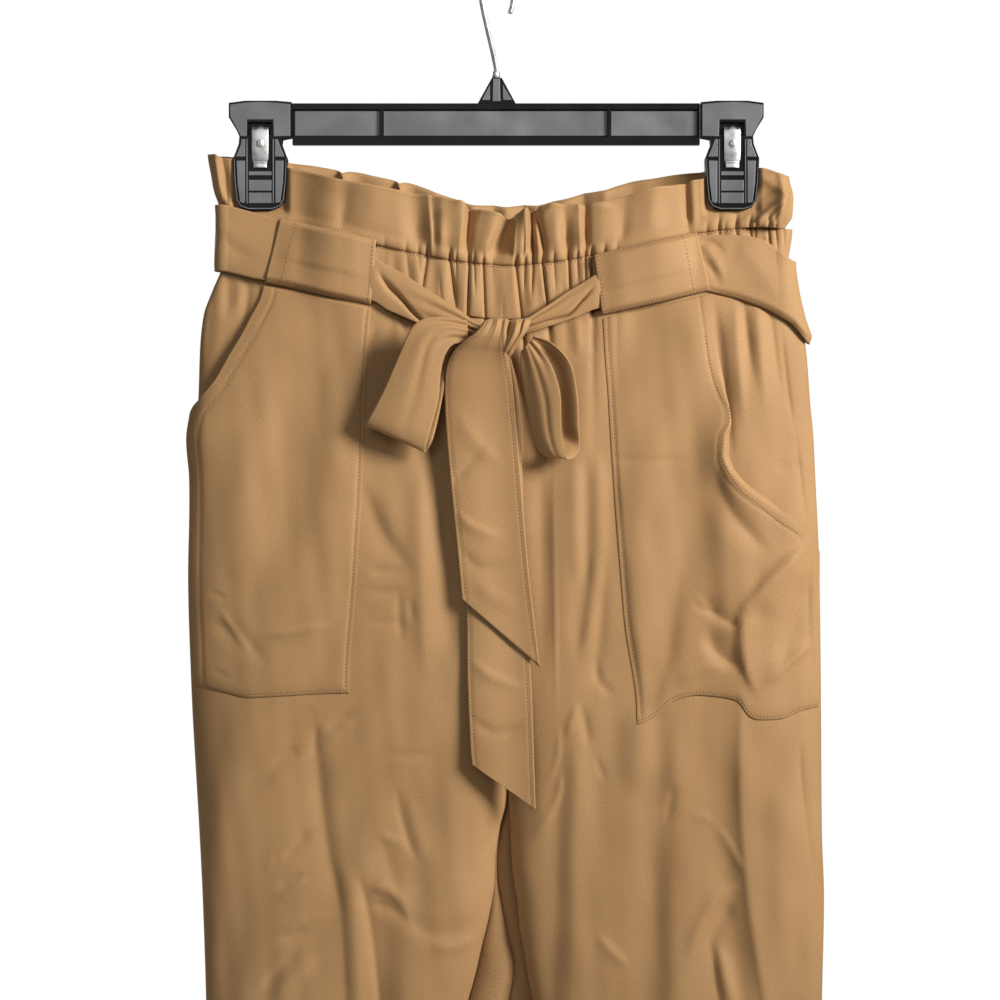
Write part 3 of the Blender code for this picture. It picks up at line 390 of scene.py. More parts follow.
# The panels' creases. The front's run from the right leg to the left
CREASES = {
    "front": named(Crease, """
-177 -205 -178 -220 -179 -240 4 -3.5 0 0.3
-171 -208 -171 -222 -172 -238 4 2.9 0 0.3
-165 -205 -165 -225 -168 -250 3.2 -3.8 0.2 0.3
-188 -215 -190 -240 -192 -270 5 -1.9 0 0.3
-79 -242 -82 -252 -85 -264 3 -1.9 0 0.3
-64 -236 -65 -250 -67 -268 5 1.9 0 0.3
-88 -346 -76 -380 -54 -408 7 -2 0.2 0.2
-88 -404 -72 -406 -57 -404 3 -1.4 0.3 0.3
-88 -419 -72 -420 -58 -418 3 -1.3 0.3 0.3
-84 -440 -70 -441 -58 -439 3.4 -0.8 0 0.3
-64 -418 -64 -436 -62 -456 2.6 -1.3 0 0.3
-56 -424 -56 -432 -55 -442 2.4 -1.1 0 0.3
-34 -335 -33 -400 -30 -480 8 -2 0 0.1
-50 -330 -50 -400 -47 -480 9 2.6 0 0.3
-150 -640 -150 -840 -148 -1230 16 -3.6 0 0.1
-60 -600 -60 -800 -62 -1230 15 4.3 0 0.1
-100 -690 -104 -900 -106 -1230 14 4.8 0.2 0.1
-80 -700 -84 -860 -88 -1050 9 -3.1 0 0.1
-128 -820 -124 -950 -128 -1180 8 -2.6 0.3 0.1
-46 -820 -50 -900 -52 -1060 7 -2.2 0 0.1
-126 -493 -121 -496 -115.5 -501 2.2 1.4 -0.3 1
-118 -506 -119.5 -518 -120 -529 3.4 -3.4 0 0.5
-119 -505 -115 -562 -103 -632 11 -2.8 0.4 0.6
-108 -596 -101 -650 -98 -760 8 -2.2 0.4 0.6
-98 -600 -93 -650 -87 -745 8 1.7 0.3 0.2
-92 -606 -82.5 -650 -74 -740 7 -3.2 -0.55 0.8
-85 -620 -70 -617 -56 -638 4 1.8 -0.6 0.8
-84 -630 -71 -627 -56 -643 6 -2 0.3 0.2
-83 -615 -73 -617 -64 -623 2.4 1 0 0.5
-60 -625 -40 -646 -4 -632 7 -1.7 -0.2 0.2
-46 -651 -28 -653 -8 -646 4 1.7 0.2 0.3
-154 -549 -138 -536 -118 -524 3.2 1.8 0.5 0.7
-150 -537 -138 -528 -128 -524 4.5 -2.2 -0.3 0.2
-148 -624 -135 -615 -121 -608 2.6 1.7 0.5 0.8
-146 -618 -136 -610 -125 -605 3.4 -1.6 0 0.2
-146 -646 -128 -636 -105 -631 3 1.9 0.4 0.7
-144 -652 -134 -645 -120 -642 3.6 -1.8 0.2 0.3
-153 -604 -150 -599 -147 -592 1.8 1.1 0 0.8
-142 -598 -132 -586 -122 -575 4 -2.2 0.3 0.4
-156 -684 -143 -668 -128 -654 5 -2.4 0.3 0.4
-150 -694 -136 -676 -117 -660 6 1.8 0 0.2
-67 -545 -61 -576 -52 -598 4 -1.6 -0.3 0.5
-58 -550 -53 -578 -45 -600 5 0.9 0 0
-79 -579 -69 -583 -59 -588 2.4 1.2 0 0.6
-78 -527 -58 -527 -38 -526 2.4 -0.9 0.2 0.3
-113 -513 -104 -505 -93 -497 3 -1.6 0.3 0.5
-114 -519 -104 -511 -92 -503 3 1.2 0 0.3
-77 -580 -70 -602 -65 -622 7 -1 0 0
4 -560 -3 -583 -13 -598 3.2 -2.4 0.5 0.6
6 -566 0.5 -584 -5 -601 2.4 1.6 0 0.3
-172 -760 -168 -900 -170 -1100 10 2.4 0 0.1
52 -238 53 -250 54 -268 4 1.9 0 0.3
30 -335 30 -400 31 -480 7 -1.7 0 0.2
51 -325 52 -370 52 -420 6 1.2 0 0.1
66 -325 67 -370 65 -420 6 1.3 0 0.1
58 -325 59 -370 58 -420 5 -1.2 0 0.1
62 -700 64 -900 64 -1230 14 4.8 0 0.1
88 -700 90 -900 90 -1230 13 -3.8 0 0.1
146 -700 150 -860 150 -1100 10 -3.6 0.2 0.1
37.2 -325 38.2 -420 39.6 -512 1.7 1.4 0.4 1
39.5 -505 39.5 -532 28 -550 1.8 1.4 0.4 0.9
42 -536 38.5 -560 22 -584 2.8 2 0.5 0.7
44 -500 38 -610 33 -780 9 -1.8 0.2 0
53 -510 52 -610 47 -760 10 2.2 -0.2 0
106 -460 103 -620 102 -850 11 -1.9 0.2 0
120 -480 118 -620 117 -820 11 2 -0.2 0
162 -470 163 -600 188 -745 15 3.8 -0.55 0.9
148 -490 150 -600 170 -720 9 -1.4 0.2 0
141 -648 144 -670 149 -705 4 -2.8 0.3 0.7
146 -653 150 -674 159 -708 5 2.6 0 0.2
163 -614 140 -628 124 -670 4.5 2.8 0.2 0.4
158 -626 146 -638 137 -662 6 -2.4 0 0
142 -571 154 -588 163 -607 2.8 1.8 0.4 0.6
126 -571 134 -568 143 -572 5 1.4 0 0.2
116 -545 114 -558 110 -575 3 -2 -0.3 0.6
94 -492 93 -520 95 -562 10 1.8 0 0
200.5 -517 201.5 -556 213 -626 3.4 -2.6 -0.2 0.7
184 -545 190 -600 188 -675 12 2 0 0
65 -644 76 -657 88 -667 3.6 1.7 0.3 0.5
53 -492 49 -504 45 -517 3 1.6 -0.3 0.5
55 -494 58 -508 60 -523 5 -1.6 0 0.3
65 -529 68 -537 72 -546 2.6 -1.4 0 0.5
65 -461 68 -480 79 -485 3 -1.4 0 0.4
61 -390 57 -430 51 -465 6 -1.7 0.3 0.2
72 -395 67 -450 63 -495 6 -1.5 0.3 0.2
66 -392 62 -430 58 -468 6 1.4 0 0.1
102 -760 100 -900 104 -1120 9 -3.4 0.25 0.1
118 -780 120 -950 124 -1230 12 3.6 -0.2 0.1
180 -695 178 -860 176 -1230 14 5 -0.3 0.3
44 -705 52 -860 58 -1100 10 3.6 -0.2 0.1
188 -240 191.6 -279 197 -316 3 -1.8 0.4 0.9
197 -312 201.5 -350 205 -380 3 -1.6 0.4 0.9
209 -494 211 -540 212 -600 1.6 -0.6 0.3 0.9
143.5 -222 149.5 -282 156 -340 6.4 -3.4 0.4 0.4
164 -224 165 -246 169 -280 3.6 -3.6 0.2 0.8
181 -230 183 -254 188 -292 3.8 -3.4 0.2 0.7
172 -228 173 -254 177 -300 5 2.2 0 0.3
158 -230 159 -262 163 -312 5 2.6 0.2 0.5
182 -338 192 -338 202 -331 2.4 -1 0.2 0.6"""),
    "back": named(Crease, """
-150 -300 -146 -500 -142 -760 16 5 0 0.2
-90 -330 -94 -700 -98 -1230 15 -5 0 0.2
-120 -420 -116 -600 -122 -900 10 3.2 0.3 0.2
-150 -700 -144 -900 -140 -1230 14 5.5 0 0.2
-45 -600 -54 -800 -62 -1230 13 5 0 0.2
-40 -270 -38 -400 -34 -520 14 3.8 0 0.2
-66 -560 -52 -600 -30 -620 7 -2.8 0.2 0.2
-90 -520 -60 -566 -22 -580 7 -2.2 0.2 0.2
-20 -470 -34 -520 -60 -556 8 2.5 0.2 0.2
30 -470 46 -520 74 -556 8 2.5 0.2 0.2
26 -560 60 -590 96 -592 7 -2.8 0.2 0.2
34 -610 62 -636 96 -640 6 -2 0.2 0.2
52 -270 52 -400 50 -540 14 3.8 0 0.2
60 -600 68 -800 72 -1230 13 5.5 0 0.2
112 -320 118 -700 120 -1230 15 -5 0 0.2
140 -420 144 -600 138 -800 9 3 0.3 0.2
165 -380 168 -700 168 -1230 15 5.8 0 0.2
-176 -420 -178 -600 -176 -820 8 -3 0 0.2
186 -420 190 -600 188 -820 8 -3 0 0.2
-118 -860 -112 -980 -116 -1180 8 -3 0.2 0.2
96 -760 94 -900 98 -1120 8 -3 0.2 0.2""")}

# Pocket edges by height: the mouth or the side seam, and the edge sewn to the front
POCKET_RIGHT = Table("z outer inner", """
-217.5 -154 -82
-243 -163 -84
-263 -174 -85.5
-282 -185 -86.5
-305 -200 -87
-320 -203 -87.5
-345 -201.4 -88.5
-410 -202.6 -92
-486 -200.4 -97""")
POCKET_LEFT = Table("z outer inner", """
-223.6 141 69
-243 142.8 70.2
-266 145.4 71.4
-289 150.6 73.2
-302 154.2 74
-310 154 74.5
-319 151 75
-330 151.2 75.6
-338.5 154.6 76.2
-351 165.6 77
-369.6 190.6 78.4
-383 206 79.4
-396 211 80.4
-440 211.6 84
-500 211.8 92""")

# How far each pocket's hem rises above a straight line, from its sewn edge to the side
HEM_RIGHT = Table("share rise", """
0 0
0.42 -3.5
0.66 -5.7
0.78 -3.5
1 0""")
HEM_LEFT = Table("share rise", """
0 0
0.1 4
0.2 13
0.31 15.6
0.44 13.4
0.55 9.3
0.61 -1
0.66 -4
0.79 -5
0.93 -0.5
1 0""")

# Each pocket's edges, the heights of its corners, where its mouth gapes most and where it ends
Pocket = namedtuple(
    "Pocket", "edges hem top_outer top_inner bottom_outer bottom_inner mouth_z mouth_end")
POCKET_GAPE = 5.0
POCKETS = {
    "pocket_right": Pocket(POCKET_RIGHT, HEM_RIGHT, -218.4, -233.4, -482.5, -487.0, -290, -320),
    "pocket_left": Pocket(POCKET_LEFT, HEM_LEFT, -224.2, -240.0, -497.0, -507.0, -335, -382)}
POCKET_CREASES = {
    "pocket_right": named(Crease, """
-156 -449 -130 -445 -106 -440 3.4 1.6 0.3 0.4
-190 -423 -184 -422 -177 -427 2.6 -1.1 0 0.4
-182 -431 -172 -446 -159 -464 3 1.5 0.3 0.6
-188 -474 -182 -474 -175 -478 3 -1.1 0 0.4
-190 -438 -170 -450 -150 -468 6 -1.2 0 0
-138 -260 -136 -340 -134 -420 16 -1.4 0 0
-108 -260 -106 -340 -108 -430 12 1.2 0 0
-168 -330 -166 -380 -166 -430 10 1.2 0 0"""),
    "pocket_left": named(Crease, """
207 -384 180 -411 160 -434 10.5 5.8 -0.6 0.7
166 -418 160 -456 172 -491 8.5 4.7 -0.6 0.9
134 -418 146 -437 166 -442 8 -4.4 -0.4 0.6
139 -440 145 -461 166 -469 7.5 -4 -0.3 0.4
209 -454 191 -468 171 -487 6 3.3 0.6 0.8
208 -400 196 -440 183 -478 8 -2.6 0 0.1
145 -336 152 -365 180 -396 8 -4.4 0.2 0.4
152 -240 151 -350 152 -462 17 4.8 -0.4 0
114 -483 134 -471 159 -468 4 1.3 0.2 0.5
120 -400 113 -455 100 -498 8 -2 0.2 0.1
128 -425 137 -433 148 -434 3 -1 0 0.4
68 -331 98 -334 134 -331 2.4 -0.6 0.2 0.5
92 -360 93 -430 94 -500 9 1.6 0 0
122 -240 124 -340 124 -450 14 -1.4 0 0
90 -240 92 -320 94 -400 12 1.2 0 0
206.5 -382 206.4 -440 209.5 -500 1.5 -0.6 0.3 0.9""")}

# Carriers sewn over the belt: their four corners, across and up
Carrier = namedtuple("Carrier", "top_outer top_inner bottom_outer bottom_inner")
CARRIERS = {
    "carrier_right": Carrier((-143, -171.6), (-79.4, -187.6), (-153, -216.4), (-83, -231.4)),
    "carrier_left": Carrier((132.0, -182.0), (64.0, -198.6), (140.4, -222.0), (69.0, -238.0))}

# Stitch lines on a carrier: the edge, the distance from it, and where the line starts along it
CARRIER_LINES = [
    ("top", 1.3, 0.02), ("bottom", 1.3, 0.02), ("last", 2.2, 0.04), ("first", 11.0, 0.04)]

BELT_CREASES = named(Crease, """
131 -196 141 -189 152 -200 3.6 -2.6 0.3 0.5
134 -190 142 -199 150 -215 4.6 2.4 -0.3 0.5
133 -202 141 -206 148 -222 4 -2.4 0.2 0.4
158 -188 172 -204 190 -236 12 1.6 -0.3 0.1
-184 -176 -176 -192 -156 -200 8 -0.8 0 0.1""")

# The two strips of belt from the carriers to the knot, by distance across
STRAND_RIGHT = Table("x top bottom out valley open", """
-91 -194 -226 3.6 0.3 3.4
-80 -200.6 -229.7 4.8 0.33 3.6
-72 -206 -235 5.2 0.46 3
-64 -210 -238.5 5.4 0.6 2.4
-50 -219.2 -244.5 6 0.9 1.4
-46 -221.5 -245.6 6 0.94 0.9
-28 -233.6 -249.8 6.8 0.6 0.9
-8 -245 -252.5 7.4 0.6 0.7""")
STRAND_LEFT = Table("x top bottom out valley open", """
72 -207 -233 3.6 0.3 1.6
64 -212.5 -234.6 5 0.36 2
56 -217.6 -238 5.4 0.56 1.3
46 -223.6 -242 6 0.82 1
32 -233.4 -246.6 6.8 0.7 0.8
14 -242.6 -251 7.6 0.6 0.7""")

# Sections of each bow loop, from the knot round its end and back: one edge's three coordinates,
# then the other's
BOW_LOOPS = {
    "bow_loop_right": numbers("""
-19.5 -34 -243 -18.8 -33 -257.5
-37.8 -38 -240.7 -28.5 -37 -258.5
-53.5 -40 -245.5 -34 -39 -266
-63.7 -40 -265.6 -36.8 -39 -278
-73.7 -38.5 -288.2 -38.4 -38 -295
-83.6 -36 -306.5 -44.5 -36.5 -318.5
-86.6 -31.5 -310.5 -47 -32 -328.5
-82.5 -27.5 -307 -41.6 -28 -319.5
-68.5 -25.5 -284 -35.6 -25.5 -292.5
-55.5 -25.5 -262 -32.4 -25.5 -268.5
-36 -26.5 -249 -27 -27 -259.5
-20.5 -28.5 -245.5 -19.4 -28.5 -256"""),
    "bow_loop_left": numbers("""
16 -34 -262.6 22.6 -37 -255.8
15.6 -36 -269.5 30 -41 -264.3
16.2 -36 -278.5 35.9 -44 -273.6
19.4 -36 -297 41.2 -45 -291.2
24 -34.5 -320 42 -42.5 -315.7
31 -32 -330.5 46 -37 -332.9
36.5 -29.5 -327 53.5 -31.5 -327.7
32.5 -28.5 -311 53.5 -28 -312.4
28.6 -28 -292 52.5 -27 -290.8
24 -28 -275 48 -27 -270.5
21.5 -28.5 -265 36 -28 -257.5
22 -30.5 -259 24 -30.5 -252.5""")}

# The tails' edges, from the knot down to the slanted tip: the right edge across and up, the left
# edge across and up, and their distance back
TAILS = {
    "bow_tail_front": numbers("""
-8 -243.6 7.6 -242.4 -32
-8.8 -244 7.2 -242.8 -39
-10.5 -247.2 6.6 -246.6 -42.4
-14.6 -251.6 6 -252.4 -43
-21.4 -256.4 6.4 -258.6 -41
-27.8 -262.4 7.2 -264.8 -37.6
-32 -270.4 8.4 -271.8 -35
-33.9 -281 10 -282 -33.2
-33.9 -300 12 -303 -30.8
-32.4 -325 14.2 -328 -30.2
-30.2 -349 16.2 -353 -30
-27.9 -373 18.3 -379 -29.8
-25.4 -398 21.6 -414 -29.8
-22.9 -425 28.2 -469.5 -29.8"""),
    "bow_tail_back": numbers("""
-11 -264 8 -264 -27.4
-22 -290 14 -290 -28.4
-24.5 -330 16 -330 -27.4
-23 -380 18 -384 -27.2
-20 -433 20.4 -440 -27.4
-19.4 -476 23 -490 -28.2
-17.6 -519 24.6 -540 -28.6
-16.3 -533 25.4 -562.5 -28.8""")}

# Folds that run down each tail from the knot: place across, spread, height and reach down
TAIL_FOLDS = [
    (0.20, 0.1, 0.8, 0.20), (0.41, 0.5, -0.9, 0.24), (0.60, 0.3, 1.1, 0.28),
    (0.79, 0.1, -1.4, 0.26)]
TAIL_CREASES = {
    "bow_tail_front": named(Crease, """
-26 -366 -14 -378 8 -384 4 1.5 0.3 0.6
-24 -388 -10 -404 12 -398 5 -1.3 0.3 0.3
-26 -300 -14 -322 4 -336 6 1 0 0.2
-30 -352 -20 -338 -6 -322 5 -1.2 0 0.3
-16 -412 0 -424 16 -430 4 1 0.2 0.5"""),
    "bow_tail_back": named(Crease, """
-18 -462 -2 -476 20 -482 4 1.3 0.2 0.4
-18 -500 0 -512 20 -504 4 -1.2 0.2 0.3""")}

# Sections of the knot from its top down, and its folds: place across, half width and height
KNOT_SECTIONS = numbers("""
-6 -28 -243.8 21.6 -28 -241.2
-7.6 -33.6 -244.6 22 -35.6 -241.8
-9 -36.6 -247.4 21.4 -39.8 -244.8
-11.6 -37.4 -251.6 18.6 -42 -250.6
-13.6 -36.4 -256.2 14.6 -41.8 -256.4
-13.6 -34.8 -260 11.2 -39.4 -262
-12 -32.8 -263 8.6 -35.4 -266.6""")
KNOT_FOLDS = [(0.62, 0.04, -3.4), (0.76, 0.09, 2.8), (0.89, 0.03, -2.2), (0.95, 0.04, 1.4)]

def rectangle(start, end, top, bottom):
    return [(start, top), (start, bottom), (end, bottom), (end, top)]


def mirrored(outline):
    return [(-across, up) for across, up in outline]


# A clip's faces between its dark channels, coloured grey as a painted reflection of the bright room
# on the black plastic: distance from its middle towards the end of the bar, and height
CLIP_HEAD = [
    (12.8, -119.0), (15.2, -114.6), (19.8, -106.2), (19.9, -98.2), (10.0, -96.8), (0.0, -96.3),
    (-10.0, -96.8), (-19.9, -97.8), (-19.9, -118.9), (-9.0, -119.2), (-8.7, -108.0), (8.7, -108.0),
    (9.0, -119.2)]
UPPER_CHEEK = [
    (9.8, -121.0), (12.4, -121.0), (12.9, -124.8), (15.2, -130.4), (16.0, -132.6), (9.8, -132.6)]
UPPER_CHEEK_FAR = [(-9.8, -121.0), (-11.6, -121.0)] + mirrored(UPPER_CHEEK[2:])
LOWER_CHEEK = [
    (10.0, -135.2), (15.6, -135.2), (15.0, -150.0), (13.4, -162.4), (11.4, -163.4), (10.0, -162.8)]
CLIP_FACES = [
    CLIP_HEAD, UPPER_CHEEK, UPPER_CHEEK_FAR, LOWER_CHEEK, mirrored(LOWER_CHEEK),
    rectangle(7.5, -7.5, -148.0, -155.2), rectangle(7.5, -7.5, -156.4, -163.4)]
# Thin grey strips along the clip's edges and across its jaw: painted highlights on the black
# plastic edges
RIM_OUTSIDE = [
    (17.0, -134.0), (17.3, -134.0), (16.9, -148.0), (15.6, -161.2), (12.9, -165.4), (7.9, -167.3)]
RIM_INSIDE = [(7.8, -166.6), (12.6, -164.9), (15.0, -160.9), (16.4, -148.0)]
RIM_SIDE = [(8.3, -121.0), (9.1, -121.0), (9.1, -163.6), (8.3, -163.6)]
CLIP_RIMS = [
    RIM_OUTSIDE + mirrored(RIM_OUTSIDE)[::-1] + mirrored(RIM_INSIDE)[::-1] + RIM_INSIDE,
    RIM_SIDE, mirrored(RIM_SIDE), rectangle(7.5, -7.5, -142.4, -145.0)]
PLATE_FACE = 5.76
BOSS_Z = -124.0
# The bends of the spring's tongue: height, distance forward and half width
SPRING_BENDS = numbers("""
-112.6 4.6 5
-113.6 6.2 5.2
-115.4 7.1 5.5
-120 7.7 5.5
-128 7.5 5.5
-134 6.9 5.3
-136.2 6.6 4.6
-137.4 7.3 4.4
-139.8 7.4 4.4""")

# The hub's faces, coloured grey as a painted reflection of the bright room on the black plastic
HUB_FACES = [
    [(-2.6, -80.6), (1.8, -80.6), (2.2, -95.6), (-3.0, -95.6)],
    [(-4.6, -84.4), (-4.8, -94.8), (-10.2, -94.8)], [(3.8, -84.4), (4.0, -94.8), (9.8, -94.8)]]
# Radius and height of the ferrule round the hook's foot
FERRULE = [(1.9, -80.2), (2.6, -79.8), (2.6, -76.2), (2.1, -75.4), (1.7, -75.2)]


def smooth_step(t):
    t = np.clip(t, 0.0, 1.0)
    return t * t * (3 - 2 * t)


def mix(a, b, t):
    return a + (b - a) * t


def bell(t, middle, reach):
    return np.exp(-((t - middle) / reach) ** 2)


def down_grid(count):
    return np.linspace(0, 1, count)[:, None]


def across_grid(count):
    return np.linspace(0, 1, count)[None, :]


def face_sign(face):
    return -1 if face == "front" else 1


def leg_share(z):
    """0 where the section is one tube, 1 where it is two legs."""
    return smooth_step((CROTCH_BLEND_Z - z) / (CROTCH_BLEND_Z - CROTCH_Z))


def near_clips(x, reach, blur):
    """1 within reach of a clip's middle, fading to 0 over the blur beyond it."""
    return np.maximum(*(1 - smooth_step((np.abs(x - clip) - reach) / blur) for clip in CLIP_X))


def clip_hold(x, z):
    """1 where a clip presses both layers together, 0 where they hang free."""
    above = 1 - smooth_step((CLIP_BOTTOM - 2 - z) / 85)
    side = 1 - smooth_step((np.abs(x - CENTRE_X / 2) - 181) / 8)
    return near_clips(x, 22.5, 30) * above * side


def clip_press(x, z):
    """1 right under a clip's jaws, 0 a little way off, where the cloth puckers again."""
    return near_clips(x, 15.5, 5) * (1 - smooth_step((CLIP_BOTTOM + 2 - z) / 7))


def rounded(t):
    """Section of a flattened tube: 0 at both edges, 1 over its middle."""
    return np.sqrt(np.maximum(0.0, 1 - np.abs(t) ** 5))


def ridge(distance, width, lean, sharp=0.0):
    """Height across a ridge, 1 on its line. With lean above 0 its positive side is steeper."""
    t = distance / (width * (1 - lean * np.sign(distance)))
    soft = np.exp(-t * t)
    crisp = np.exp(-1.5 * (np.sqrt(t * t + 0.012) - 0.11))
    return mix(soft, crisp, sharp)


def crease_path(crease, steps=12):
    """Points of the curve through a crease's three points."""
    t = down_grid(steps + 1)
    a = np.array([crease.xa, crease.za])
    b = np.array([crease.xb, crease.zb])
    c = np.array([crease.xc, crease.zc])
    middle = 2 * b - (a + c) / 2
    return (1 - t) ** 2 * a + 2 * t * (1 - t) * middle + t * t * c


def crease_height(creases, x, z):
    """How far the creases push the cloth out at each point."""
    x, z = np.broadcast_arrays(np.asarray(x, float), np.asarray(z, float))
    total = np.zeros(x.shape)
    for crease in creases:
        path = crease_path(crease)
        length = np.linalg.norm(np.diff(path, axis=0), axis=1).sum()
        is_long = length > 45
        width = min(crease.width, length / (5 if is_long else 9))
        steepest = (0.5 if is_long else 0.42) * width
        height = np.clip(crease.height, -steepest, steepest)
        reach = 3 * width * (1 + abs(crease.lean))
        (left, low), (right, high) = path.min(0) - reach, path.max(0) + reach
        near = (x > left) & (x < right) & (z > low) & (z < high)
        if not near.any():
            continue
        px, pz = x[near], z[near]
        best = np.full(px.shape, 1e9)
        signed, along = np.zeros((2, *px.shape))
        for k, start in enumerate(path[:-1]):
            step = path[k + 1] - start
            t = ((px - start[0]) * step[0] + (pz - start[1]) * step[1]) / (step @ step)
            t = np.clip(t, 0, 1)
            dx = px - start[0] - t * step[0]
            dz = pz - start[1] - t * step[1]
            squared = dx * dx + dz * dz
            closer = squared < best
            best[closer] = squared[closer]
            signed[closer] = (np.sign(step[0] * dz - step[1] * dx) * np.sqrt(squared))[closer]
            along[closer] = ((k + t) / (len(path) - 1))[closer]
        window = smooth_step(along / 0.36 + 0.06) * smooth_step((1 - along) / 0.36 + 0.06)
        width = width * (0.45 + 0.55 * window)
        total[near] += height * window * ridge(signed, width, crease.lean, crease.sharp)
    return total


def wave_field(seed, shortest, longest, count):
    """A smooth uneven relief made of waves in all directions, with a spread of about 1."""
    chance = np.random.default_rng(seed)
    lengths = np.exp(chance.uniform(math.log(shortest), math.log(longest), count))
    turns = chance.uniform(0, math.tau, count)
    shifts = chance.uniform(0, math.tau, count)
    scale = math.sqrt(2 / count)

    def field(x, z):
        total = 0.0
        for length, turn, shift in zip(lengths, turns, shifts):
            across = math.cos(turn) * math.tau / length
            up = math.sin(turn) * math.tau / length * 0.6
            total = total + np.sin(across * x + up * z + shift)
        return total * scale
    return field


soft_waves = {"front": wave_field(4, 45, 120, 9), "back": wave_field(9, 45, 120, 9)}
small_waves = {"front": wave_field(14, 14, 34, 14), "back": wave_field(19, 14, 34, 14)}


def make_back_tucks():
    chance = np.random.default_rng(23)
    places = np.linspace(-178, 186, BACK_TUCK_COUNT) + chance.uniform(-2.2, 2.2, BACK_TUCK_COUNT)
    return [Tuck(x, chance.uniform(1.2, 1.9), chance.uniform(1.0, 2.8), chance.uniform(-3, 3),
                 chance.uniform(0.5, 1.4)) for x in places]


TUCKS["back"] = make_back_tucks()


def tuck_depth(face, x, down, spread=1.0):
    """How far the small tucks pull the cloth in, across the garment and down from the stitches."""
    x, down = np.broadcast_arrays(np.asarray(x, float), np.asarray(down, float))
    total = np.zeros(x.shape)
    for tuck in TUCKS[face]:
        fade = 1.0
        if tuck.reach < 0:
            fade = smooth_step((down - (1 + tuck.reach) + 0.2) / 0.5)
        elif 0 < tuck.reach < 1:
            fade = smooth_step((tuck.reach + 0.2 - down) / 0.5)
        place = tuck.x + tuck.drift * np.clip(down, 0, 1.3)
        total = total + tuck.depth * fade * ridge(x - place, tuck.width * spread, 0, 0.8)
    return total


def seam_top(x):
    """Height of the seam between the casing and the panels."""
    return WAIST.at("stitch", x) - CASING_HEIGHT


def inner_mask(x, z, name):
    """1 well inside a pocket, 0 outside it."""
    pocket = POCKETS[name]
    outer, inner = (pocket.edges.at(edge, z) for edge in ("outer", "inner"))
    u = (x - inner) / (outer - inner)
    across = smooth_step((u - 0.05) / 0.15) * smooth_step((0.93 - u) / 0.2)
    low = smooth_step((z - pocket.bottom_inner - 14) / 25)
    high = smooth_step((pocket.top_inner - 30 - z) / 25)
    return across * (low * high)


def relief(x, z, face):
    """Folds, gathers and waves of a panel, out of its plain form."""
    below = seam_top(x) - z
    gathered = smooth_step((below + 30) / 25) * np.exp(-np.maximum(below, 0) / 40)
    spread = 1.3 + 0.02 * np.maximum(below, 0)
    rise = crease_height(CREASES[face], x, z)
    rise = rise + soft_waves[face](x, z) * 0.8 + small_waves[face](x, z) * 0.16
    gathered = gathered * (1 - 0.85 * smooth_step((np.abs(x - 5) - 85) / 20))
    rise = rise - tuck_depth(face, x, 1 + 0.02 * np.clip(below, 0, 15), spread) * gathered * 1.1
    return rise * smooth_step((PANEL_TOP + 60 - z) / 40)


def depth(x, z, face, rise=0.0):
    """How far a face's middle surface stands from the plane between front and back."""
    x, z = np.broadcast_arrays(np.asarray(x, float), np.asarray(z, float))
    right = OUTLINE.at("right", z)
    left = OUTLINE.at("left", z)
    middle = (right + left) / 2
    body = rounded((x - middle) / (left - middle))
    share = leg_share(z)
    low = np.maximum(HEM_Z, z)
    on_right = x < CENTRE_X
    outer = np.where(on_right, right, left)
    inner = np.where(on_right, INSEAM.at("right", low), INSEAM.at("left", low))
    leg = rounded((2 * x - outer - inner) / (inner - outer))
    section = mix(body, leg, share)
    open_depth = section * DEPTH.at(face, z) + np.minimum(1, section * 1.3) * rise
    return HALF_GAP + mix(open_depth, CLIP_HOLD - HALF_GAP, clip_hold(x, z))


def panel_depth(x, z, face):
    rise = relief(x, z, face)
    if face == "front":
        for name in POCKETS:
            rise = rise - 3.4 * inner_mask(x, z, name)
    return depth(x, z, face, rise)


def cover_depth(x, z, face):
    """The surface that pockets lie on: the panel without its hollow under them."""
    return depth(x, z, face, relief(x, z, face))


def lifted(x, z, lift, surface=depth):
    """Points of the front's surface, moved out along its normal."""
    def at(px, pz):
        return surface(px, pz, "front")

    step = 0.8
    across = (at(x + step, z) - at(x - step, z)) / (2 * step)
    up = (at(x, z + step) - at(x, z - step)) / (2 * step)
    length = np.sqrt(across ** 2 + 1 + up ** 2)
    y = -(at(x, z) + lift / length)
    return np.stack([x - across / length * lift, y, z - up / length * lift], -1)


def resample(rows, count):
    """Rows of numbers read at more places along a smooth curve through them."""
    rows = np.asarray(rows, float)
    last = len(rows) - 1
    where = np.linspace(0, last, count)
    k = np.clip(where.astype(int), 0, last - 1)
    t = (where - k)[:, None]
    before = rows[np.maximum(k - 1, 0)]
    start = rows[k]
    end = rows[k + 1]
    after = rows[np.minimum(k + 2, last)]
    bend = 2 * before - 5 * start + 4 * end - after
    twist = 3 * start - before - 3 * end + after
    return 0.5 * (2 * start + (end - before) * t + bend * t ** 2 + twist * t ** 3)


def crowded(start, end, count, crowds):
    """Places from start to end, closer together around each crowd's middle."""
    places = np.linspace(start, end, 2001)
    weight = np.ones_like(places)
    for middle, reach, extra in crowds:
        weight += extra * bell(places, middle, reach)
    share = np.concatenate([[0], np.cumsum((weight[1:] + weight[:-1]) / 2)])
    return np.interp(np.linspace(0, share[-1], count), share, places)


# Materials

def set_up(made, settings):
    """Settings of a node or of its sockets, whose names are written with _ for a space."""
    for name, value in settings.items():
        socket = name.replace("_", " ")
        if socket in made.inputs:
            made.inputs[socket].default_value = value
        else:
            setattr(made, name, value)
    return made


def node(tree, kind, **settings):
    return set_up(tree.nodes.new(kind), settings)


def link(source, out, target, into):
    source.id_data.links.new(source.outputs[out], target.inputs[into])


def new_material(name, **settings):
    material = bpy.data.materials.new(name)
    material.use_nodes = True
    return material, set_up(material.node_tree.nodes["Principled BSDF"], settings)


